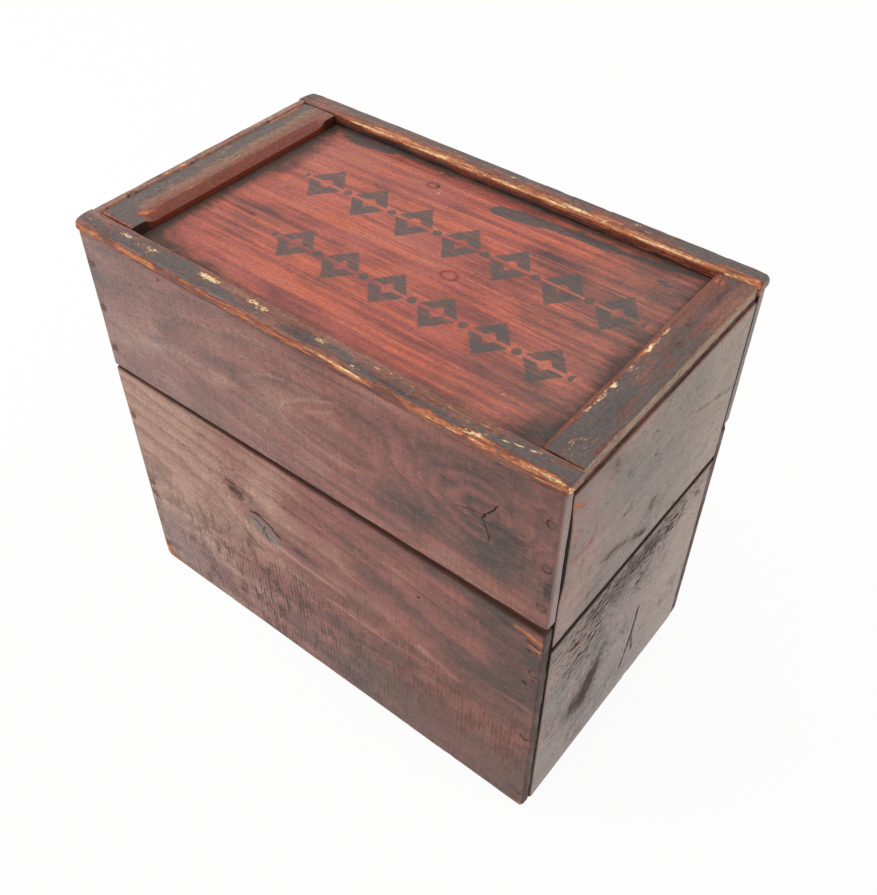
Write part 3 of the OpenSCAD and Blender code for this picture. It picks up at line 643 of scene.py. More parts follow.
def wood(name, look, stencil=()):
    """Old softwood: growth rings and fibres under a stain, dirt and painted shade in its corners, paint, and
    rubbed edges.
    """
    material, new = blank(bpy.data.materials, name)
    ink = {key: paint(value) for key, value in look.items() if isinstance(value, str)}
    grain = new("Attribute", attribute_name="grain", out=1)
    has = {key: new("Attribute", attribute_name=key, out=2) for key in ATTRIBUTES}
    in_wood = {}
    for key, (sizes, detail, rough) in PATTERNS.items():
        scaled = new("VectorMath.MULTIPLY", grain, [1 / mm for mm in sizes])
        in_wood[key] = new("TexNoise", scaled, None, 1.0, detail, rough)

    # Growth rings and fibres, with bands of warmer wood
    shifted = new("Math.MULTIPLY_ADD", in_wood["wander"], look["wander"], has["ring"])
    phase = new("Math.FRACT", new("Math.DIVIDE", shifted, look["ring"]))
    late = new("ValToRGB", phase, stops=RING)
    streak = new("MapRange.SMOOTHSTEP", in_wood["fibre"], 0.34, 0.68, 0.0, 1.0)
    depth = new("Math.MULTIPLY_ADD", late, look["rings"], new("Math.MULTIPLY", streak, look["fibres"]))
    quiet = new("MapRange", has["gloss"], 0.0, 0.6, 1.0, 0.3)
    depth = new("Math.MULTIPLY", depth, quiet)
    warm = new("MapRange.SMOOTHSTEP", in_wood["band"], 0.42, 0.64, 0.0, look["warmth"])
    colour = new("MixRGB", warm, ink["early"], ink["warm"])

    # Faded places are paler and greyer, dirty ones darker; the same tone also carries painted light and
    # shade
    toned = new("MapRange", in_wood["blotch"], *SPAN, -look["mottle"], look["mottle"])
    toned = new("Math.ADD", toned, has["tone"])
    veins = new("MapRange", in_wood["band"], *SPAN, -look["streaky"], look["streaky"])
    toned = new("Math.ADD", toned, veins)
    colour = new("MixRGB", new("MapRange", toned, 0.5, 1.0, 0.0, look["paling"]), colour, ink["pale_and_lit"])
    colour = new("MixRGB", new("MapRange", toned, 0.5, 0.0, 0.0, look["dim"]), colour, ink["deep"])
    colour = new("MixRGB.MULTIPLY", depth, colour, ink["late"])

    # Varnish that has gone milky and grey, together with a painted sheen of reflected light
    milky_and_sheen = new("Math.MULTIPLY", has["bloom"], new("MapRange", streak, 0.0, 1.0, 1.04, 0.96))
    colour = new("MixRGB", milky_and_sheen, colour, ink["bloom"])

    # Saw strokes across the grain: a wave of one stroke every few millimetres, broken up by noise
    along = new("Math.MULTIPLY", new("SeparateXYZ", grain), 2 * math.pi / SAW_PITCH)
    wave = new("Math.SINE", new("Math.MULTIPLY_ADD", in_wood["blotch"], 4.0, along))
    stroke = new("Math.MULTIPLY_ADD", wave, 0.08, in_wood["kerf"])
    stroke = new("Math.ADD", new("MapRange", in_wood["speck"], *SPAN, -0.1, 0.1), stroke)
    stroke = new("MapRange.SMOOTHSTEP", stroke, 0.46, 0.64, 0.0, look["sawn"])
    stroke = new("Math.MULTIPLY", stroke, has["saw"])
    colour = new("MixRGB", stroke, colour, ink["deep"])

    # Grey hearts of knots, and bright fibres
    colour = new("MixRGB", has["knot"], colour, ink["heart"])
    bright = new("MapRange.SMOOTHSTEP", in_wood["line"], 0.58, 0.7, 0.0, look["lines"])
    colour = new("MixRGB", bright, colour, ink["glow"])

    # Dirt and painted shade, and thin black paint, with ragged edges
    ragged = new("MapRange", in_wood["patch"], *SPAN, -0.32, 0.32)
    soiled_and_shaded = new("Math.MULTIPLY_ADD", ragged, 0.6, has["grime"])
    soiled_and_shaded = new("MapRange.SMOOTHSTEP", soiled_and_shaded, 0.22, 1.0, 0.0, 0.95)
    colour = new("MixRGB", soiled_and_shaded, colour, ink["soiling_and_shade"])
    nibbled = new("MapRange", in_wood["speck"], *SPAN, -0.2, 0.2)
    coat = new("Math.ADD", new("Math.MULTIPLY_ADD", ragged, 0.7, nibbled), has["black"])
    coat = new("MapRange.SMOOTHSTEP", coat, 0.36, 0.66, 0.0, look["cover"])
    if stencil:
        coat = new("Math.MAXIMUM", coat, stencilled(new, nibbled, streak, stencil))
    colour = new("MixRGB", coat, colour, ink["paint"])

    # Short dark dashes along the grain
    thick = new("Math.MULTIPLY_ADD", has["dash"], 0.12, in_wood["fleck"])
    dash = new("MapRange.SMOOTHSTEP", thick, 0.66, 0.74, 0.0, look["flecks"])
    colour = new("MixRGB", dash, colour, ink["deep"])

    # Rubbed edges: paint gives way to red-brown stain, then to orange wood, and to cream where chipped
    split = new("MapRange", in_wood["splinter"], *SPAN, -0.4, 0.4)
    worn = new("Math.ADD", new("Math.MULTIPLY_ADD", nibbled, 0.8, split), has["rub"])
    thinned = new("MapRange.SMOOTHSTEP", worn, 0.24, 0.4, 0.0, 0.92)
    thinned = new("Math.MAXIMUM", thinned, has["stain"])
    colour = new("MixRGB", thinned, colour, ink["thinned"])
    rubbed = new("MapRange.SMOOTHSTEP", worn, 0.5, 0.74, 0.0, 1.0)
    broken = new("Math.MULTIPLY_ADD", streak, 0.5, new("MapRange", in_wood["speck"], 0.36, 0.64, 0.0, 0.5))
    raw = new("MixRGB", broken, ink["rubbed"], ink["rubbed_dark"])
    colour = new("MixRGB", rubbed, colour, raw)
    shard = new("Math.MULTIPLY_ADD", has["chip"], 0.4, in_wood["shard"])
    torn = new("MapRange.SMOOTHSTEP", shard, 0.71, 0.78, 0.0, 0.85)
    colour = new("MixRGB", torn, colour, raw)
    chipped = new("Math.MAXIMUM", new("MapRange.SMOOTHSTEP", worn, 1.05, 1.25, 0.0, 1.0),
                  new("MapRange.SMOOTHSTEP", shard, 0.78, 0.84, 0.0, 1.0))
    colour = new("MixRGB", chipped, colour, ink["chipped"])

    # Dirt in the pores and scratches over it all
    pores = new("MapRange", in_wood["grit"], *SPAN, 1 - look["grit"], 1 + look["grit"])
    colour = new("MixRGB.MULTIPLY", quiet, colour, pores)
    fine = new("MapRange", in_wood["scratch"], *SPAN, 1 - look["scratch"], 1 + look["scratch"])
    colour = new("MixRGB.MULTIPLY", 1.0, colour, fine)

    # Insides that were never stained, and cracks
    plain = new("MixRGB", warm, new("MixRGB", depth, INSIDE_EARLY, INSIDE_LATE), INSIDE_WARM)
    colour = new("MixRGB", has["bare"], colour, plain)
    colour = new("MixRGB", has["mark"], colour, ink["crack"])

    # The varnish is smoothest on sound stain; rubbed or bare wood and cracks are dull
    rough = new("MapRange", in_wood["fibre"], *SPAN, look["rough"] - 0.05, look["rough"] + 0.07)
    rough = new("Math.MULTIPLY_ADD", has["gloss"], -0.22, rough)
    rough = new("Math.ADD", new("MapRange", in_wood["grit"], *SPAN, 0.12, -0.12), rough)
    rough = new("Math.MULTIPLY_ADD", new("Math.MAXIMUM", dash, stroke), 0.2, rough)
    dull = new("Math.MAXIMUM", new("Math.MAXIMUM", rubbed, has["bare"]),
               new("Math.MAXIMUM", has["mark"], soiled_and_shaded))
    rough = new("MixRGB", dull, rough, DULL)
    matt = new("Math.MULTIPLY_ADD", coat, look["matt"], new("Math.MAXIMUM", dash, has["mark"]))
    rough = new("MixRGB", matt, rough, MATT)

    # Late wood and fibres stand up a little, and marks cut in; varnish fills most of it
    height = new("Math.MULTIPLY_ADD", late, 0.12, new("Math.MULTIPLY", streak, 0.3))
    for cut, deep in ((dash, -0.5), (stroke, -0.8), (rubbed, -0.5), (chipped, -0.5), (has["mark"], -1.5)):
        height = new("Math.MULTIPLY_ADD", cut, deep, height)
    height = new("Math.MULTIPLY", height, new("MapRange", has["gloss"], 0.0, 0.2, 1.0, 0.05))
    bump = new("Bump", named={"Strength": look["bump"], "Distance": RELIEF * MM, "Height": height})
    new("OutputMaterial", new("BsdfPrincipled", named={
        "Base Color": colour, "Roughness": rough, "Normal": bump, "IOR": 1.5}))
    return material


def stencilled(new, nibbled, streak, rows):
    """Rows of lozenges brushed through a cut plate: each is a diamond with a hollow middle, split by a
    bridge across it, with a dot between neighbours. A row gives its first and last x, its middle y, pitch
    and height."""
    place = new("VectorMath.SCALE", new("TexCoord", out=3), None, None, 1 / MM)
    x, y = (new("SeparateXYZ", place, out=i) for i in (0, 1))
    total = None
    for first, last, middle, pitch, height in rows:
        step = new("Math.DIVIDE", new("Math.SUBTRACT", x, first), pitch)
        across = new("Math.ABSOLUTE", new("Math.SUBTRACT", new("Math.FRACT", step), 0.5))
        up = new("Math.ABSOLUTE", new("Math.SUBTRACT", y, middle))
        size = new("Math.MULTIPLY_ADD", up, 2 / height, new("Math.MULTIPLY", across, 2.5))
        size = new("Math.MULTIPLY_ADD", nibbled, 0.3, size)
        solid = new("MapRange", size, 0.96, 1.04, 1.0, 0.0)
        hollow = new("MapRange", size, 0.3, 0.38, 0.0, 1.0)
        bridge = new("MapRange", up, 0.7, 1.5, 0.0, 1.0)
        shape = new("Math.MULTIPLY", new("Math.MULTIPLY", solid, hollow), bridge)
        aside = new("Math.MULTIPLY", new("Math.SUBTRACT", across, 0.5), pitch)
        far = new("Math.ADD", new("Math.MULTIPLY", aside, aside), new("Math.MULTIPLY", up, up))
        shape = new("Math.MAXIMUM", shape, new("MapRange", far, 5.0, 8.5, 1.0, 0.0))
        ends = new("Math.MULTIPLY", new("Math.GREATER_THAN", x, first), new("Math.LESS_THAN", x, last))
        shape = new("Math.MULTIPLY", shape, ends)
        total = shape if total is None else new("Math.MAXIMUM", total, shape)
    return new("Math.MULTIPLY", total, new("MapRange", streak, 0.2, 1.0, 0.94, 0.6))


# Looks of the stained boards, the painted strips, the red lid and the bare wood: colours, strengths from
# 0 to 1, and lengths in millimetres
LOOKS = {
    "early": ("#945548", "#98644f", "#af554a", "#b98f60"),        # pale early wood
    "late": ("#907c70", "#806a62", "#a88880", "#b09478"),         # late wood, laid over it
    "warm": ("#9c5646", "#8f4d39", "#d66b47", "#a4764a"),         # bands of warmer wood
    "warmth": (0.5, 0.6, 0.85, 0.5),                              # how strong they are
    "pale_and_lit": ("#b88d79", "#9c7767", "#b8705f", "#c8a880"),        # faded places, and places paled by painted light
    "paling": (0.95, 0.85, 0.8, 0.6),                               # how strong they are
    "deep": ("#321e12", "#341510", "#4c2a26", "#5c3d24"),         # dark places, saw strokes, dashes
    "dim": (0.95, 0.95, 0.95, 0.8),                               # how strong the dark places are
    "soiling_and_shade": ("#43281f", "#221917", "#43362f", "#4a3524"),         # dirt, and painted shade
    "paint": ("#3a3230", "#544d4a", "#464542", "#4a3b30"),        # thin black paint
    "cover": (0.72, 0.88, 0.9, 0.8),                              # how well it covers
    "heart": ("#70655a", "#4f4740", "#6a4038", "#6d4a2c"),        # hearts of knots
    "thinned": ("#87482f", "#783018", "#a5543a", "#b08050"),      # stain under worn paint
    "rubbed": ("#c87c48", "#dc8c5a", "#dc8c58", "#cfa672"),       # wood rubbed bare
    "rubbed_dark": ("#9c532e", "#7e3a24", "#b9663e", "#a97d4c"),  # the same in its streaks
    "chipped": ("#f0cd92", "#f4d8a2", "#f0d2a0", "#e5cb9e"),      # fresh chips
    "crack": ("#20120e", "#1a0f0d", "#21130f", "#24160e"),        # cracks
    "glow": ("#b07a66", "#a0664a", "#da8660", "#cfa878"),         # bright fibres
    "lines": (0.12, 0.25, 0.5, 0.3),                              # how strong they are
    "ring": (9.0, 3.0, 9.0, 5.0),                                 # width of a growth ring
    "rings": (0.5, 0.25, 0.25, 0.6),                              # strength of the rings
    "fibres": (0.16, 0.4, 0.3, 0.4),                              # strength of the fibres
    "wander": (12.0, 5.0, 9.0, 6.0),                              # how far the rings waver
    "flecks": (0.6, 0.6, 0.35, 0.3),                              # strength of the dashes
    "sawn": (0.86, 0.5, 0.4, 0.4),                                # strength of the saw strokes
    "mottle": (0.3, 0.34, 0.3, 0.2),                              # unevenness of the stain
    "streaky": (0.05, 0.24, 0.14, 0.0),                           # the same along the grain
    "grit": (0.26, 0.38, 0.3, 0.12),                              # dirt in the pores
    "scratch": (0.13, 0.04, 0.03, 0.04),                          # scratches across the grain
    "bloom": ("#8e8784", "#a1805e", "#9a8478", "#a3978d"),        # milky varnish and painted sheen
    "rough": (0.44, 0.42, 0.38, 0.75),                            # roughness
    "matt": (0.9, 0.0, 0.0, 0.0),                                 # how matt the paint is
    "bump": (0.5, 0.55, 0.4, 0.5),                                # strength of the relief
}
STAINED_LOOK, PAINTED_LOOK, RED_LOOK, BARE_LOOK = (
    {key: row[i] for key, row in LOOKS.items()} for i in range(4))

# Pine boards under red-brown spirit stain and worn varnish, greyed by handling and painted sheen: soft
# sheen, quiet grain
STAINED = wood("stained_pine", STAINED_LOOK)
# The same boards on the end walls, where the varnish has gone milky: a brown-grey haze over the stain,
# partly a painted sheen of reflected light
HAZED = wood("hazed_and_sheen_pine", {**STAINED_LOOK, "bloom": "#8a7157", "mottle": 0.2, "flecks": 1.0})
# Rails and battens in thin black paint over brown stain, rubbed through at the edges: dull slate
PAINTED = wood("black_painted_pine", PAINTED_LOOK)
# The lid: pine in brick-red stain, its early wood glowing orange through the varnish, with stencilled rows
LID_ROWS = ((-97.0, 121.0, 25.0, 31.14, 33.0), (-70.0, 115.0, -28.0, 30.83, 29.0))
RED = wood("red_stained_pine", RED_LOOK, LID_ROWS)
# Sawn pine that was never finished, gone tan with age: dull, with clear grain
BARE = wood("bare_aged_pine", BARE_LOOK)


def nail_iron():
    """Wire nails whose heads were stained and painted over with the wood round them: slate on top of the
    box, brown on its walls, uneven with rust."""
    material, new = blank(bpy.data.materials, "rusted_iron_wire")
    place = new("TexCoord", out=3)
    pits = new("TexNoise", place, None, 1 / (PIT_SIZE * MM), 4.0, 0.6)
    rust = new("MixRGB", new("MapRange", pits, 0.35, 0.65, 0.0, 1.0), paint("#5a4039"), paint("#74503f"))
    slate = new("MixRGB", new("MapRange", pits, 0.4, 0.7, 0.0, 1.0), paint("#46474a"), paint("#5c4438"))
    on_top = new("Math.GREATER_THAN", new("SeparateXYZ", place, out=2), RAIL_FOOT * MM)
    rough = new("MapRange", pits, *SPAN, 0.4, 0.65)
    bump = new("Bump", named={"Strength": 0.4, "Distance": PIT_DEEP * MM, "Height": pits})
    new("OutputMaterial", new("BsdfPrincipled", named={
        "Base Color": new("MixRGB", on_top, rust, slate), "Roughness": rough, "Normal": bump,
        "Metallic": 0.2}))
    return material


IRON = nail_iron()
for key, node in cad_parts.items():
    if key.endswith("_nails"):
        node.data.materials.clear()
        node.data.materials.append(IRON)


def by_height(z):
    """Strength of the dark joints at the corners of the box, which fade towards the floor."""
    return 0.35 + 0.65 * ease(z, 40, 100)


def long_board(side, level, seed):
    """One board of the front (side -1) or back wall. Its seam edge slants and wavers, and carries the
    tongue or the groove; each nail head has a dimple."""
    front, lower = side < 0, level == "lower"
    name = ("front_" if front else "back_") + level + "_board"
    low, high = node_box(name)
    seam = SIDE_SEAM_LOW if lower else SIDE_SEAM_HIGH
    if lower:
        high[2] = seam_line = max(seam)
    else:
        low[2] = seam_line = min(seam)
    middle = (low[1] + high[1]) / 2
    half = TONGUE / 2 + (0 if lower else TONGUE_FIT)
    knot = FRONT_KNOTS[level]
    x_spans = [(at - NAIL_REACH, at + NAIL_REACH) for at in (-NAIL_X, NAIL_X)]
    z_spans = [(at - NAIL_REACH, at + NAIL_REACH) for at in NAIL_LEVELS[level]]
    if front:
        for spans, at, (before, after) in zip((x_spans, z_spans), knot[0], KNOT_REACH):
            spans.append((at + before, at + after))
    step = FACE_STEP if front else PLAIN_STEP
    flat, faces = block([grid_lines(low[0], high[0], step, windows(*x_spans)),
                         grid_lines(low[1], high[1], THROUGH_STEP, cheek_lines(middle, half)),
                         grid_lines(low[2], high[2], step, windows(*z_spans))], (1, front))
    x, y, z = flat.T
    wave, sway = patterns(flat, seed)
    face_y = low[1] if front else high[1]
    outer = {1: face_y}
    shown = np.abs(y - face_y) < TOUCH
    share = (x - low[0]) / (high[0] - low[0])

    # Worn edges
    radius = 0.5 + 0.6 * wave(14) + 0.5 * wave(4, 1)
    for end_x in (low[0], high[0]):
        radius += 0.9 * beside(flat, {0: end_x, **outer}, 3.5) * wave(18, 2)
    foot = beside(flat, {2: low[2], **outer}, 4.0) * lower
    places, out = wear_edges(flat, low, high, radius + foot)
    on_seam = np.abs(z - seam_line) < TOUCH
    by_seam = ease(-np.abs(z - seam_line), -24, 0)
    waver = 0.5 * sway((31, FAR, FAR), 3) + 0.5 * sway((7, FAR, FAR), 4)
    slant = seam[0] + (seam[1] - seam[0]) * share - seam_line
    places[:, 2] += by_seam * (slant + waver * (1 if lower else -0.4))
    if lower:
        round_corner(places, (0, 2), (low[0], low[2]), (1, 1), LEFT_ROUND)
        round_corner(places, (0, 2), (high[0], low[2]), (-1, 1), RIGHT_ROUND)
        if not front:
            round_corner(places, (1, 2), (high[1], low[2]), (-1, 1), BACK_ROUND)
        # The sawn right-hand end is rough and a little short
        end = beside(flat, {0: high[0]}, 1.5)
        torn = 0.45 * wave((9, 9, 1.6), 5) + 0.7 * wave((9, 9, 6), 17)
        places[:, 0] -= end * (END_SHORT + END_TORN * front * torn)
    held = on_seam & (np.abs(y - middle) < half + SLACK)
    bite = SIDE_SEAM_HIGH[0] + (SIDE_SEAM_HIGH[1] - SIDE_SEAM_HIGH[0]) * share + TONGUE_BITE
    places[:, 2] = np.where(held, bite + (0 if lower else TONGUE_FIT), places[:, 2])

    # Dimples round the nail heads, small dents, and cracks that jog from fibre to fibre
    dimple, halo = np.zeros(len(flat)), np.zeros(len(flat))
    for nail_x, nail_z in itertools.product((-NAIL_X, NAIL_X), NAIL_LEVELS[level]):
        far = np.hypot(x - nail_x, z - nail_z)
        dimple = np.maximum(dimple, 1 - ease(far, DIMPLE_R - 0.5, DIMPLE_R + 0.3))
        halo = np.maximum(halo, np.exp(-((far - DIMPLE_R) / 0.4) ** 2))
    jog_x = x + 1.6 * sway((2.4, 9, 1.3), 6)
    jog_z = z + 1.2 * sway((2.0, 9, 1.6), 7)
    crack = shown * placed(name, "mark", jog_x, jog_z)
    dents = ease(wave(11, 8), 0.8, 0.95)
    hollow = shown * (DIMPLE_DEEP * dimple + 0.25 * dents) + 0.4 * crack
    # Along the seam the ledge and the rim beside it are darkened: dirt and painted shade under the upper
    # board
    rim = beside(flat, {2: seam_line, **outer}, 1.5 if lower else 1.0)
    mark = most(crack, shown * 0.8 * halo * ease(wave(2.5, 9), 0.3, 0.6),
                0.42 * on_seam, 0.5 * rim * ease(share, -0.6, 0.3))

    # Stain, dirt and painted shade, wear and saw marks
    drift = sway((60, 30, 22), 10)
    if front:
        # On the front the tone is partly painted light: paler at the left, darker at the right
        tone = np.interp(share, TONE_AT, FRONT_TONES_AND_PAINTED_LIGHT[level]) + 0.2 * drift
        rings = growth(x, z, (y - face_y) * side, *FRONT_HEARTS[level], (knot,))
    else:
        tone = 0.42 + 0.3 * drift
        rings = growth(x, z, (y - face_y) * side, *BACK_HEARTS[level])
    if front and not lower:
        # The grain curls round the knot in darker and paler bands
        turn = np.hypot((x - knot[0][0]) / 1.6, z - knot[0][1]) + 3.0 * sway((20, 20, 14), 16)
        bands = 0.13 * shown * np.sin(2 * np.pi * turn / CURL_PITCH)
        tone += bands * np.exp(-(turn / 30) ** 2) * ease(x, 132, 106)
    tone += placed(name, "tone", x, z) * shown
    # Near the seam the wood is darkened: dirt and painted shade
    grime = 0.22 * wave(25, 11) + 0.5 * beside(flat, {2: seam_line}, 1.6) + on_seam
    rub = shown * placed(name, "rub", x, z)
    saw = np.zeros(len(flat))
    if front:
        rub += 0.3 * beside(flat, {0: low[0], **outer}, 1.6)
        rub += (0.14 if lower else 0.3) * beside(flat, {0: high[0], **outer}, 1.6)
    if lower:
        tone += 0.16 * ease(z, 90, 160) * ease(share, 0.35, 0.1) - 0.26 * ease(z, 80, 20)
        rub += foot * (0.12 + 0.34 * wave(26, 12))
        deep = 0.5
        for centre, size, strength in SAWN_SPOTS:
            deep = deep + strength * blot(x, z, centre, size)
        saw = shown * deep * ease(z, 112, 76) * ease(wave((44, 30, 26), 13), 0.0, 0.4)
    else:
        rub += 0.26 * beside(flat, {2: high[2], **outer}, 1.6)

    # End grain: the upper board's is varnished, the lower one's dark and torn
    on_end = beside(flat, {0: high[0]}, 0.5)
    tone -= on_end * (0.2 if lower else -0.1 if front else 0.3)
    grime += on_end * lower * (0.2 + 0.6 * wave((6, 6, 8), 14))
    # Milky varnish, and on the front boards a painted sheen of reflected light, strongest at the left
    if not front:
        milky_and_sheen = 0.5 * shown * wave((50, 30, 30), 15) + (not lower) * 0.6 * on_end
    elif lower:
        milky_and_sheen = shown * placed(name, "bloom", x, z)
    else:
        milky_and_sheen = shown * np.interp(share, *FRONT_MILK_AND_SHEEN) + 0.4 * on_end

    inside = looks_in(flat, out, 1, face_y, high[1] - low[1])
    joint = inside & (np.abs(x) > high[0] - JOINT)
    mark = np.maximum(mark, 0.9 * joint * by_height(z))
    make_piece(name, "box", "stained_pine", places - out * hollow[:, None], faces, STAINED, (x, z, y), seed,
               ring=rings, rub=rub, grime=grime, tone=tone, mark=mark, bare=(inside & ~joint).astype(float),
               saw=saw, black=shown * placed(name, "slate", x, z),
               knot=0.85 * shown * ease(placed(name, "knot", jog_x, jog_z), 0.2, 0.7),
               stain=0.3 * on_seam * lower + shown * placed(name, "stain", x, z),
               dash=shown * placed(name, "dash", x, z), gloss=0.5 * on_end * (front and not lower),
               bloom=milky_and_sheen)


def end_board(end, level, seed):
    """One board of the left (end -1) or right end wall. The upper left one has a thin lip behind the lid."""
    left, lower = end < 0, level == "lower"
    name = ("left_" if left else "right_") + level + "_board"
    low, high = node_box(name)
    if lower:
        high[2] = seam_line = END_SEAM_LOW
    else:
        low[2] = seam_line = END_SEAM_HIGH
    lip = left and not lower
    middle = (low[0] + high[0]) / 2
    half = TONGUE / 2 + (0 if lower else TONGUE_FIT)
    x_extra, y_extra = cheek_lines(middle, half), []
    if lip:
        x_extra += [low[0] + LIP, low[0] + LIP + STEP_GAP]
        y_extra = cheek_lines(0, LIP_HALF)
    step = PLAIN_STEP if left else FACE_STEP
    flat, faces = block([grid_lines(low[0], high[0], THROUGH_STEP, x_extra),
                         grid_lines(low[1], high[1], step, y_extra),
                         grid_lines(low[2], high[2], step)], (0, left))
    x, y, z = flat.T
    wave, sway = patterns(flat, seed)
    face_x = low[0] if left else high[0]
    outer = {0: face_x}
    shown = np.abs(x - face_x) < TOUCH

    # Worn edges, and a seam that wavers a little
    radius = 0.5 + 0.6 * wave(13) + 0.4 * wave(4, 1)
    foot = beside(flat, {2: low[2], **outer}, 4.0) * lower
    places, out = wear_edges(flat, low, high, radius + 0.8 * foot)
    on_seam = np.abs(z - seam_line) < TOUCH
    by_seam = ease(-np.abs(z - seam_line), -20, 0)
    places[:, 2] += by_seam * 0.5 * sway((FAR, 16, FAR), 2)
    held = on_seam & (np.abs(x - middle) < half + SLACK)
    bite = END_SEAM_HIGH + TONGUE_BITE + (0 if lower else TONGUE_FIT)
    places[:, 2] = np.where(held, bite, places[:, 2])
    if lip:
        # Inside the lip the board stops under the lid, and outside the rails' inner edges under the rails
        inside = x > low[0] + LIP + SLACK
        outside = ~inside & (np.abs(y) > LIP_HALF + SLACK)
        for part, top in ((inside, LIP_FOOT), (outside, RAIL_FOOT)):
            squeezed = low[2] + (places[:, 2] - low[2]) * (top - low[2]) / (high[2] - low[2])
            places[:, 2] = np.where(part, squeezed, places[:, 2])
    jog_y = y + 1.6 * sway((9, 3.0, 1.6), 3)
    jog_z = z + 1.6 * sway((9, 2.4, 3.0), 4)
    crack = shown * placed(name, "mark", jog_y, jog_z)
    hollow = shown * 0.3 * ease(wave(12, 5), 0.78, 0.95) + 0.5 * crack
    if not left and not lower:
        # The board has drawn back from the front wall
        drawn = DRAWN_BACK * beside(flat, {1: low[1]}, 5.0) * shown
        places[:, 1] += drawn * ease(z, 184, 205) * ease(z, 259, 235)

    # Stain, dirt and painted shade, wear and saw marks
    smudge = shown * np.clip(placed(name, "slate", y, z), 0, 1)
    # On the right end the tone rising towards the back is partly a painted sheen of reflected light
    tone = (0.45 if left else 0.12 if lower else 0.18) + 0.3 * ease(y, 30, 75) * (not left)
    tone += 0.24 * sway((30, 70, 30), 6)
    tone += shown * placed(name, "tone", y, z)
    tone -= 0.2 * smudge
    # By the seam the wood is darkened: dirt and painted shade under the upper board
    grime = 0.22 * wave(22, 7) + 0.5 * beside(flat, {2: seam_line}, 1.6) + on_seam
    mark = most(crack, 0.35 * on_seam, 0.6 * beside(flat, {2: seam_line, **outer}, 1.2))
    saw = shown * 0.6 * ease(wave((30, 34, 24), 8), 0.4, 0.7) * (1 if lower else 0.25)
    rub = 0.3 * foot + placed(name, "rub", y, z) * (lip | shown)
    black = (1.0 if left else 0.85) * smudge
    chip = np.zeros(len(flat))
    # Its varnish has gone milky, and a painted sheen of reflected light lies over it, most of all towards
    # the back
    milky_and_sheen = np.interp(y, END_MILK_AND_SHEEN_AT, END_MILK_AND_SHEEN[level])
    milky_and_sheen *= (0.7 + 0.6 * wave((30, 26, 18), 9)) * (1 - 0.6 * smudge) * (0.3 if left else 1)
    if not left:
        gap = np.abs(y - low[1]) < TOUCH
        mark = most(mark, 0.95 * gap * by_height(z), 0.8 * beside(flat, {1: high[1], **outer}, 0.9))
    if lip:
        rim = beside(flat, {2: high[2]}, 3.0)
        black += 0.36 * rim
        tone += 0.3 * rim
        chip = np.clip(placed(name, "chip", y, z), 0, 1) * ease(x, low[0], low[0] + 1.6)
    bare = looks_in(flat, out, 0, face_x, high[0] - low[0])
    make_piece(name, "box", "stained_pine", places - out * hollow[:, None], faces, HAZED, (y, z, x), seed,
               ring=growth(y, z, (x - face_x) * end, *END_HEARTS[level]), rub=rub, grime=grime, tone=tone,
               mark=mark, bare=bare.astype(float), saw=saw, black=black, chip=chip, bloom=shown * milky_and_sheen,
               dash=shown * placed(name, "dash", y, z), gloss=0.6 * shown * (1 - smudge))


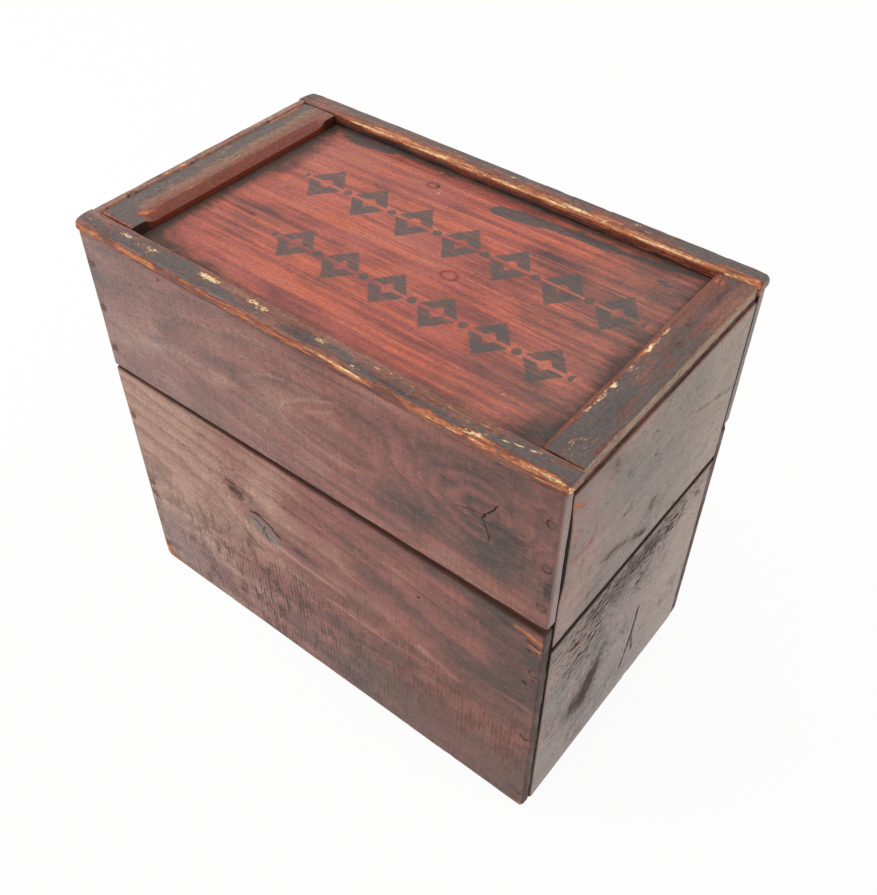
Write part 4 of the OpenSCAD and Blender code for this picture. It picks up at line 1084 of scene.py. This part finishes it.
def rail(side, seed):
    """The strip on top of a long wall, slate on top. Its worn edge is a band that follows the arris, at a
    distance measured up the outer face and over the top."""
    front = side < 0
    name = ("front" if front else "back") + "_rail"
    low, high = node_box(name)
    flat, faces = block([grid_lines(low[k], high[k], RAIL_STEP) for k in range(3)], (2, False))
    x, y, z = flat.T
    wave, sway = patterns(flat, seed)
    out_y, in_y = (low[1], high[1]) if front else (high[1], low[1])
    outer_arris = partial(beside, flat, {1: out_y, 2: high[2]})
    inner_arris = partial(beside, flat, {1: in_y, 2: high[2]})
    from_out = np.abs(y - out_y)
    slow, quick = wave((26, FAR, FAR), 1), wave((7, FAR, FAR), 2)
    outer, inner = outer_arris(3.4), inner_arris(3.0)
    wear = np.interp(x, *zip(*FRONT_RAIL_WEAR)) if front else 0.25 + 0.3 * slow
    inner_wear = 0.2 if front else ease(x, -125, -90) * (0.5 + 0.5 * quick)
    ends = beside(flat, {0: low[0], 1: out_y}, 6.0) + beside(flat, {0: high[0], 1: out_y}, 6.0)
    radius = 0.45 + 0.4 * wave(6) + outer * (0.4 + 1.7 * wear)
    radius = radius + 1.8 * inner * inner_wear + 1.6 * ends
    places, out = wear_edges(flat, low, high, radius)
    chips = ease(wave((6, 3, 3), 3), 0.62, 0.8)
    top = ease(out[:, 2], 0.3, 0.8)
    upper = np.maximum(top, inner_arris(2.0))

    # The worn band: how wide it is, and how far each point lies from its middle
    reach = 1.7 + 1.2 * quick + 0.9 * ease(x, 40, 130) - (0 if front else 1.4)
    across = z - low[2] + from_out - np.interp(x, *RAIL_BAND) - 1.2 * (slow - 0.5)
    across = np.abs(across - 2.4 * sway((8, 3, 3), 9))
    band = 1 - ease(across, reach - 1.0, reach + 1.0)
    below = (from_out < TOUCH) * ease(z, high[2] - 2.5, low[2] + 1.0)
    streaks = ease(wave((20, 1.5, 1.5), 13), 0.2, 0.5)
    wear = wear * (0.5 + 1.0 * wave((8, 2, 2), 10)) * (0.45 + 0.55 * streaks)
    rub = np.maximum(wear * band, below * (0.16 + 0.3 * wave((30, 4, 2.5), 4)))

    # Chips, thin black paint and dirt; painted shade on the back rail's inner face
    spots = placed(name, "rub", x, y)
    chip = np.clip(placed(name, "chip", x, y), 0, 1) * upper
    grime = 0.3 * wave(12, 7) + 0.35 * beside(flat, {2: low[2]}, 1.2)
    tone = 0.45 + 0.4 * sway((40, 8, 8), 8)
    if front:
        rub = most(rub, top * spots, 0.8 * ease(x, -125, -100) * inner_arris(1.1), 0.36 * outer_arris(1.4))
        bared = ease(x, -85, -45) * ease(x, 125, 100)
        # Less black at the left end of the top: a painted sheen of reflected light
        black = top * (1.0 - 0.28 * ease(x, -90, -135) - bared * (0.22 + 0.6 * ease(from_out, 7.5, 9.5)))
        tone += 0.12 * ease(from_out, 7, 10)
    else:
        face = np.abs(y - in_y) < TOUCH
        arris = inner_arris(2.5) * ease(x, -135, -100)
        rub = most(rub, upper * spots, arris * (0.72 + 0.75 * wave((16, 2, 2), 11)),
                   face * (0.25 + 0.3 * ease(x, 60, 110)) * wave((40, 4, 3), 5) * 1.6)
        chip = np.maximum(chip, 0.66 * arris * ease(wave((9, 1.6, 1.6), 12), 0.52, 0.7))
        black = top * (0.4 + 0.36 * ease(from_out, 8, 4) + 0.5 * ease(x, 104, 122))
        # The inner face darkens towards its foot by the lid: painted shade
        grime += 0.7 * face * ease(z, high[2] - 1.5, low[2] + 1.5)
    black -= (0.5 if front else 0.3) * top * wave((24, 5, 5), 6)
    hollow = 0.6 * chips * (outer * wear + inner * inner_wear) + 0.2 * ease(chip, 0.4, 0.8)
    make_piece(name, "box", "dark_pine", places - out * hollow[:, None], faces, PAINTED, (x, y, z), seed,
               ring=growth(x, y, z - high[2], *RAIL_HEARTS[side]), rub=rub, grime=grime, tone=tone,
               black=black, chip=chip, bare=ease(-out[:, 2], 0.6, 0.9))


def batten(end, seed):
    """A cross strip of the lid. The left one has a stopped chamfer on its inner edge; the right one is the
    grip, with an eased inner edge worn by thumbs."""
    left = end < 0
    name = ("left" if left else "right") + "_batten"
    low, high = node_box(name)
    flat, faces = block([grid_lines(low[k], high[k], RAIL_STEP) for k in range(3)], (2, False))
    x, y, z = flat.T
    wave, sway = patterns(flat, seed)
    in_x, out_x = (high[0], low[0]) if left else (low[0], high[0])
    inner = beside(flat, {0: in_x, 2: high[2]}, 3.4)
    outer = beside(flat, {0: out_x, 2: high[2]}, 3.0)
    slow, quick = wave((FAR, 27, FAR), 1), wave((FAR, 8, FAR), 2)
    radius = 0.4 + 0.4 * wave(6) + outer * (0.3 + 0.7 * quick)
    radius += 0 if left else inner * (1.2 + 0.9 * slow)
    places, out = wear_edges(flat, low, high, radius)
    from_end = np.minimum(y - low[1], high[1] - y)
    cut = ease(from_end, CHAMFER_STOP, CHAMFER_STOP + CHAMFER_RUN)
    cut_x = in_x - CHAMFER_W
    if left:
        into = np.clip((places[:, 0] - cut_x) / CHAMFER_W, 0, 1)
        places[:, 2] = np.minimum(places[:, 2], high[2] - CHAMFER_D * cut * into)
    chips = ease(wave((3, 6, 3), 3), 0.64, 0.82)
    top = ease(out[:, 2], 0.3, 0.8)
    chip = np.clip(placed(name, "chip", x, y), 0, 1) * top
    hollow = 0.5 * chips * (outer + 0.4 * inner) + 0.2 * ease(chip, 0.4, 0.8)

    # Paint, stain and wear
    tone = 0.5 + 0.4 * sway((8, 40, 8), 4)
    grime = 0.25 * wave(12, 5) + 0.45 * beside(flat, {2: low[2]}, 1.4)
    patchy = wave((9, 34, 9) if left else (4.5, 46, 9), 6)
    front_end = ease(y, -58, -66)
    if left:
        slope = cut * ease(x, cut_x - 0.6, cut_x + 0.6)
        near = ease(x, cut_x - 11, cut_x)
        black = top * (0.86 - 0.4 * patchy * (1 - front_end) - 0.8 * near * (1 - front_end)) * (1 - slope)
        # A pale milky layer over the slate on top, partly a painted sheen
        bloom = top * (1 - slope) * (0.5 - 0.35 * near) * (1 - front_end)
        stain = np.maximum(0.9 * slope, 0.45 * near * top * (1 - front_end))
        # The inner face is made much darker: painted shade beside the lid
        tone += 0.12 - 0.9 * (np.abs(x - in_x) < TOUCH)
        rub = 0.3 * outer * quick + 0.1 * slope + 0.7 * beside(flat, {1: low[1], 2: high[2]}, 1.3)
        rub += cut * (0.3 + 0.4 * quick) * beside(flat, {0: cut_x, 2: high[2]}, 0.9)
    else:
        strip = ease(x, in_x + 4.5, in_x + 1.5)
        face = beside(flat, {0: out_x}, 0.5)
        black = top * (0.98 - 0.7 * strip - 0.5 * patchy - 0.32 * ease(y, 10, 50))
        black += 0.5 * front_end * top * (1 - strip)
        # The grip's end face and outer arris are paler and milky: partly a painted sheen of reflected light
        bloom = 0.5 * face * (0.6 + 0.6 * wave((6, 22, 1.6), 7)) + 0.3 * outer
        bloom = np.clip(bloom, 0, 0.85)
        stain = (0.36 * strip + 0.16 * ease(y, 0, 50)) * top
        tone += 0.1 * strip - 0.22
        tone += 0.26 * face
        rub = 0.2 * outer * quick
    rub = np.maximum(rub, top * placed(name, "rub", x, y))
    make_piece(name, "lid", "dark_pine", places - out * hollow[:, None], faces, PAINTED, (y, x, z), seed,
               ring=growth(y, x, z - high[2], *BATTEN_HEARTS[end]), rub=rub, grime=grime, tone=tone,
               black=black, chip=chip, bloom=bloom, stain=stain, bare=ease(-out[:, 2], 0.6, 0.9))


def lid_panel(seed):
    """The lid's panel: dirt and painted shade lie along its border, by the rails and the battens, where
    hands never rub.
    """
    name = "lid_panel"
    low, high = node_box(name)
    high[0] += LID_END
    steps = (FACE_STEP, FACE_STEP, LID_THROUGH_STEP)
    flat, faces = block([grid_lines(low[k], high[k], steps[k]) for k in range(3)], (2, False))
    x, y, z = flat.T
    wave, sway = patterns(flat, seed)
    places, out = wear_edges(flat, low, high, 0.4 + 0.4 * wave(8))
    end = beside(flat, {0: high[0]}, 0.8)
    places[:, 0] -= end * 1.2 * wave((5, 4, 1.5), 1)
    top = ease(out[:, 2], 0.5, 0.9)
    hollow = top * 0.2 * ease(wave((30, 9, 9), 10), 0.72, 0.95)

    # Dirt and painted shade, cracks round the knots, stain and wear; darker towards the right and the back
    reach = [3.4 + 10 * wave(size, number) ** 2 for size, number in (((26, 9, 9), 2), ((9, 26, 9), 3))]
    # Along the border the dirt is also painted shade from the rails and battens
    border = np.maximum(np.exp(-np.maximum(LID_HALF - np.abs(y), 0) / reach[0]),
                        np.exp(-np.maximum(np.minimum(x - LID_LEFT, LID_RIGHT - x), 0) / reach[1]))
    grime = 0.85 * border + placed(name, "grime", x, y) + 0.12 * wave(30, 4)
    grime += 0.6 * end * wave((5, 9, 3), 5)
    jog_x = x + 2.0 * sway((9, 3, 9), 6)
    jog_y = y + 1.6 * sway((5, 2.4, 9), 7)
    mark = placed(name, "mark", jog_x, jog_y)
    for centre, r in LID_KNOTS:
        far = np.hypot((x - centre[0]) / 1.25, y - centre[1])
        mark = np.maximum(mark, 0.6 * np.exp(-((far - r) / 0.7) ** 2))
    tone = 0.445 + 0.34 * sway((90, 22, 22), 8) + 0.1 * ease(x, -60, -120)
    tone += placed(name, "tone", x, y)
    tone -= 0.12 * ease(x, 40, 120) + 0.14 * ease(x, 60, 140) * ease(y, 10, 60)
    rub = 0.25 * beside(flat, {0: high[0], 2: high[2]}, 2.0) + top * placed(name, "rub", x, jog_y)
    rub += 0.3 * end * wave((5, 12, 2), 9)
    knots = [(centre, *LID_KNOT_RINGS) for centre, r in LID_KNOTS]
    make_piece(name, "lid", "red_pine", places - out * hollow[:, None], faces, RED, (x, y, z), seed,
               ring=growth(x, y, z - high[2], *LID_HEART, knots), rub=rub, grime=grime, tone=tone,
               chip=top * placed(name, "chip", x, y), mark=mark * top, bare=ease(-out[:, 2], 0.6, 0.9),
               black=top * placed(name, "slate", x, y), bloom=0.2 * top * ease(x, 40, 125))


def plain_stick(name, seed):
    """A sawn stick or board that never shows much: slightly rounded, bare wood."""
    low, high = node_box(name)
    flat, faces = block([grid_lines(low[k], high[k], STICK_STEP) for k in range(3)], None)
    x, y, z = flat.T
    wave, sway = patterns(flat, seed)
    places, _ = wear_edges(flat, low, high, 0.4 + 0.5 * wave(9))
    make_piece(name, "box", "bare_pine", places, faces, BARE, (x, y, z), seed,
               ring=growth(x + seed * GRAIN_SHIFT, y, z, *STICK_HEART), saw=0.7 * wave(30, 2),
               tone=0.5 + 0.4 * sway(40, 1), grime=0.3 * wave(20, 3))


for i, (side, level) in enumerate(itertools.product((-1, 1), ("lower", "upper"))):
    long_board(side, level, 10 + 20 * i)
    end_board(side, level, 100 + 20 * i)
rail(-1, 200)
rail(1, 220)
batten(-1, 240)
batten(1, 260)
lid_panel(280)
for i, name in enumerate(("bottom_board", "front_runner", "back_runner")):
    plain_stick(name, 300 + 20 * i)


def shown_ray(new):
    """1 for light that goes to the camera or into a reflection, 0 for light that falls on things."""
    ray = new("LightPath", out="Is Camera Ray")
    return new("Math.MAXIMUM", ray, ray.node.outputs["Is Glossy Ray"])


def aim(thing, place, back, roll=0.0):
    """Sets a lamp or camera at a place in metres, with its back along one direction and turned about it."""
    right = np.cross((0, 0, 1), back)
    right /= np.linalg.norm(right)
    up = np.cross(back, right)
    c, s = math.cos(roll), math.sin(roll)
    turn = np.eye(4)
    turn[:3] = np.stack([c * right + s * up, c * up - s * right, back, place], 1)
    thing.matrix_world = Matrix(turn.tolist())
    bpy.context.scene.collection.objects.link(thing)


# Floor: a white sheet that the camera and reflections see as near white, with the box's own soft shadow
FLOOR_HALF = 3.0
FLOOR_GLOW = 0.93
corners = [(x * FLOOR_HALF, y * FLOOR_HALF, 0.0) for x, y in ((-1, -1), (1, -1), (1, 1), (-1, 1))]
floor_mesh = bpy.data.meshes.new("floor")
floor_mesh.from_pydata(corners, [], [[0, 1, 2, 3]])
floor = bpy.data.objects.new("floor", floor_mesh)
bpy.context.scene.collection.objects.link(floor)
white, new = blank(bpy.data.materials, "white_paper_floor")
new("OutputMaterial", new("MixShader", new("Math.MULTIPLY", shown_ray(new), FLOOR_GLOW),
                          new("BsdfDiffuse", paint("#f4f4f2")), new("Emission", (1, 1, 1, 1), 1.0)))
floor_mesh.materials.append(white)

# World: white to the eye and in reflections, a little dimmer as light
bpy.context.scene.world, new = blank(bpy.data.worlds, "white_room")
new("OutputWorld", new("Background", (1, 1, 1, 1), new("MapRange", shown_ray(new), 0.0, 1.0, 0.8, 1.0)))

# Lamp: a square soft window high at the front left
LAMP_AT, LAMP_AIM = np.array([-1.3, -0.9, 1.5]), np.array([0, 0, 0.15])
LAMP_SIZE, LAMP_WATTS = 1.2, 14
lamp = bpy.data.lights.new("window", "AREA")
lamp.size, lamp.energy = LAMP_SIZE, LAMP_WATTS
back = LAMP_AT - LAMP_AIM
aim(bpy.data.objects.new("window", lamp), LAMP_AT, back / np.linalg.norm(back))

# Camera: where the photograph was taken from
CAMERA_AT = (0.2795, -0.3375, 0.5692)
AZIMUTH, ELEVATION, ROLL = (math.radians(a) for a in (37.77, 45.1, 0.56))
FOCAL_PX, LONG_SIDE_PX, SENSOR = 1034.5, 895, 36.0
lens = bpy.data.cameras.new("camera")
lens.sensor_width = SENSOR
lens.lens = FOCAL_PX * SENSOR / LONG_SIDE_PX
camera = bpy.data.objects.new("camera", lens)
back = np.array([math.sin(AZIMUTH) * math.cos(ELEVATION), -math.cos(AZIMUTH) * math.cos(ELEVATION),
                 math.sin(ELEVATION)])
aim(camera, CAMERA_AT, back, ROLL)
bpy.context.scene.camera = camera
bpy.context.scene.view_settings.view_transform = "Standard"
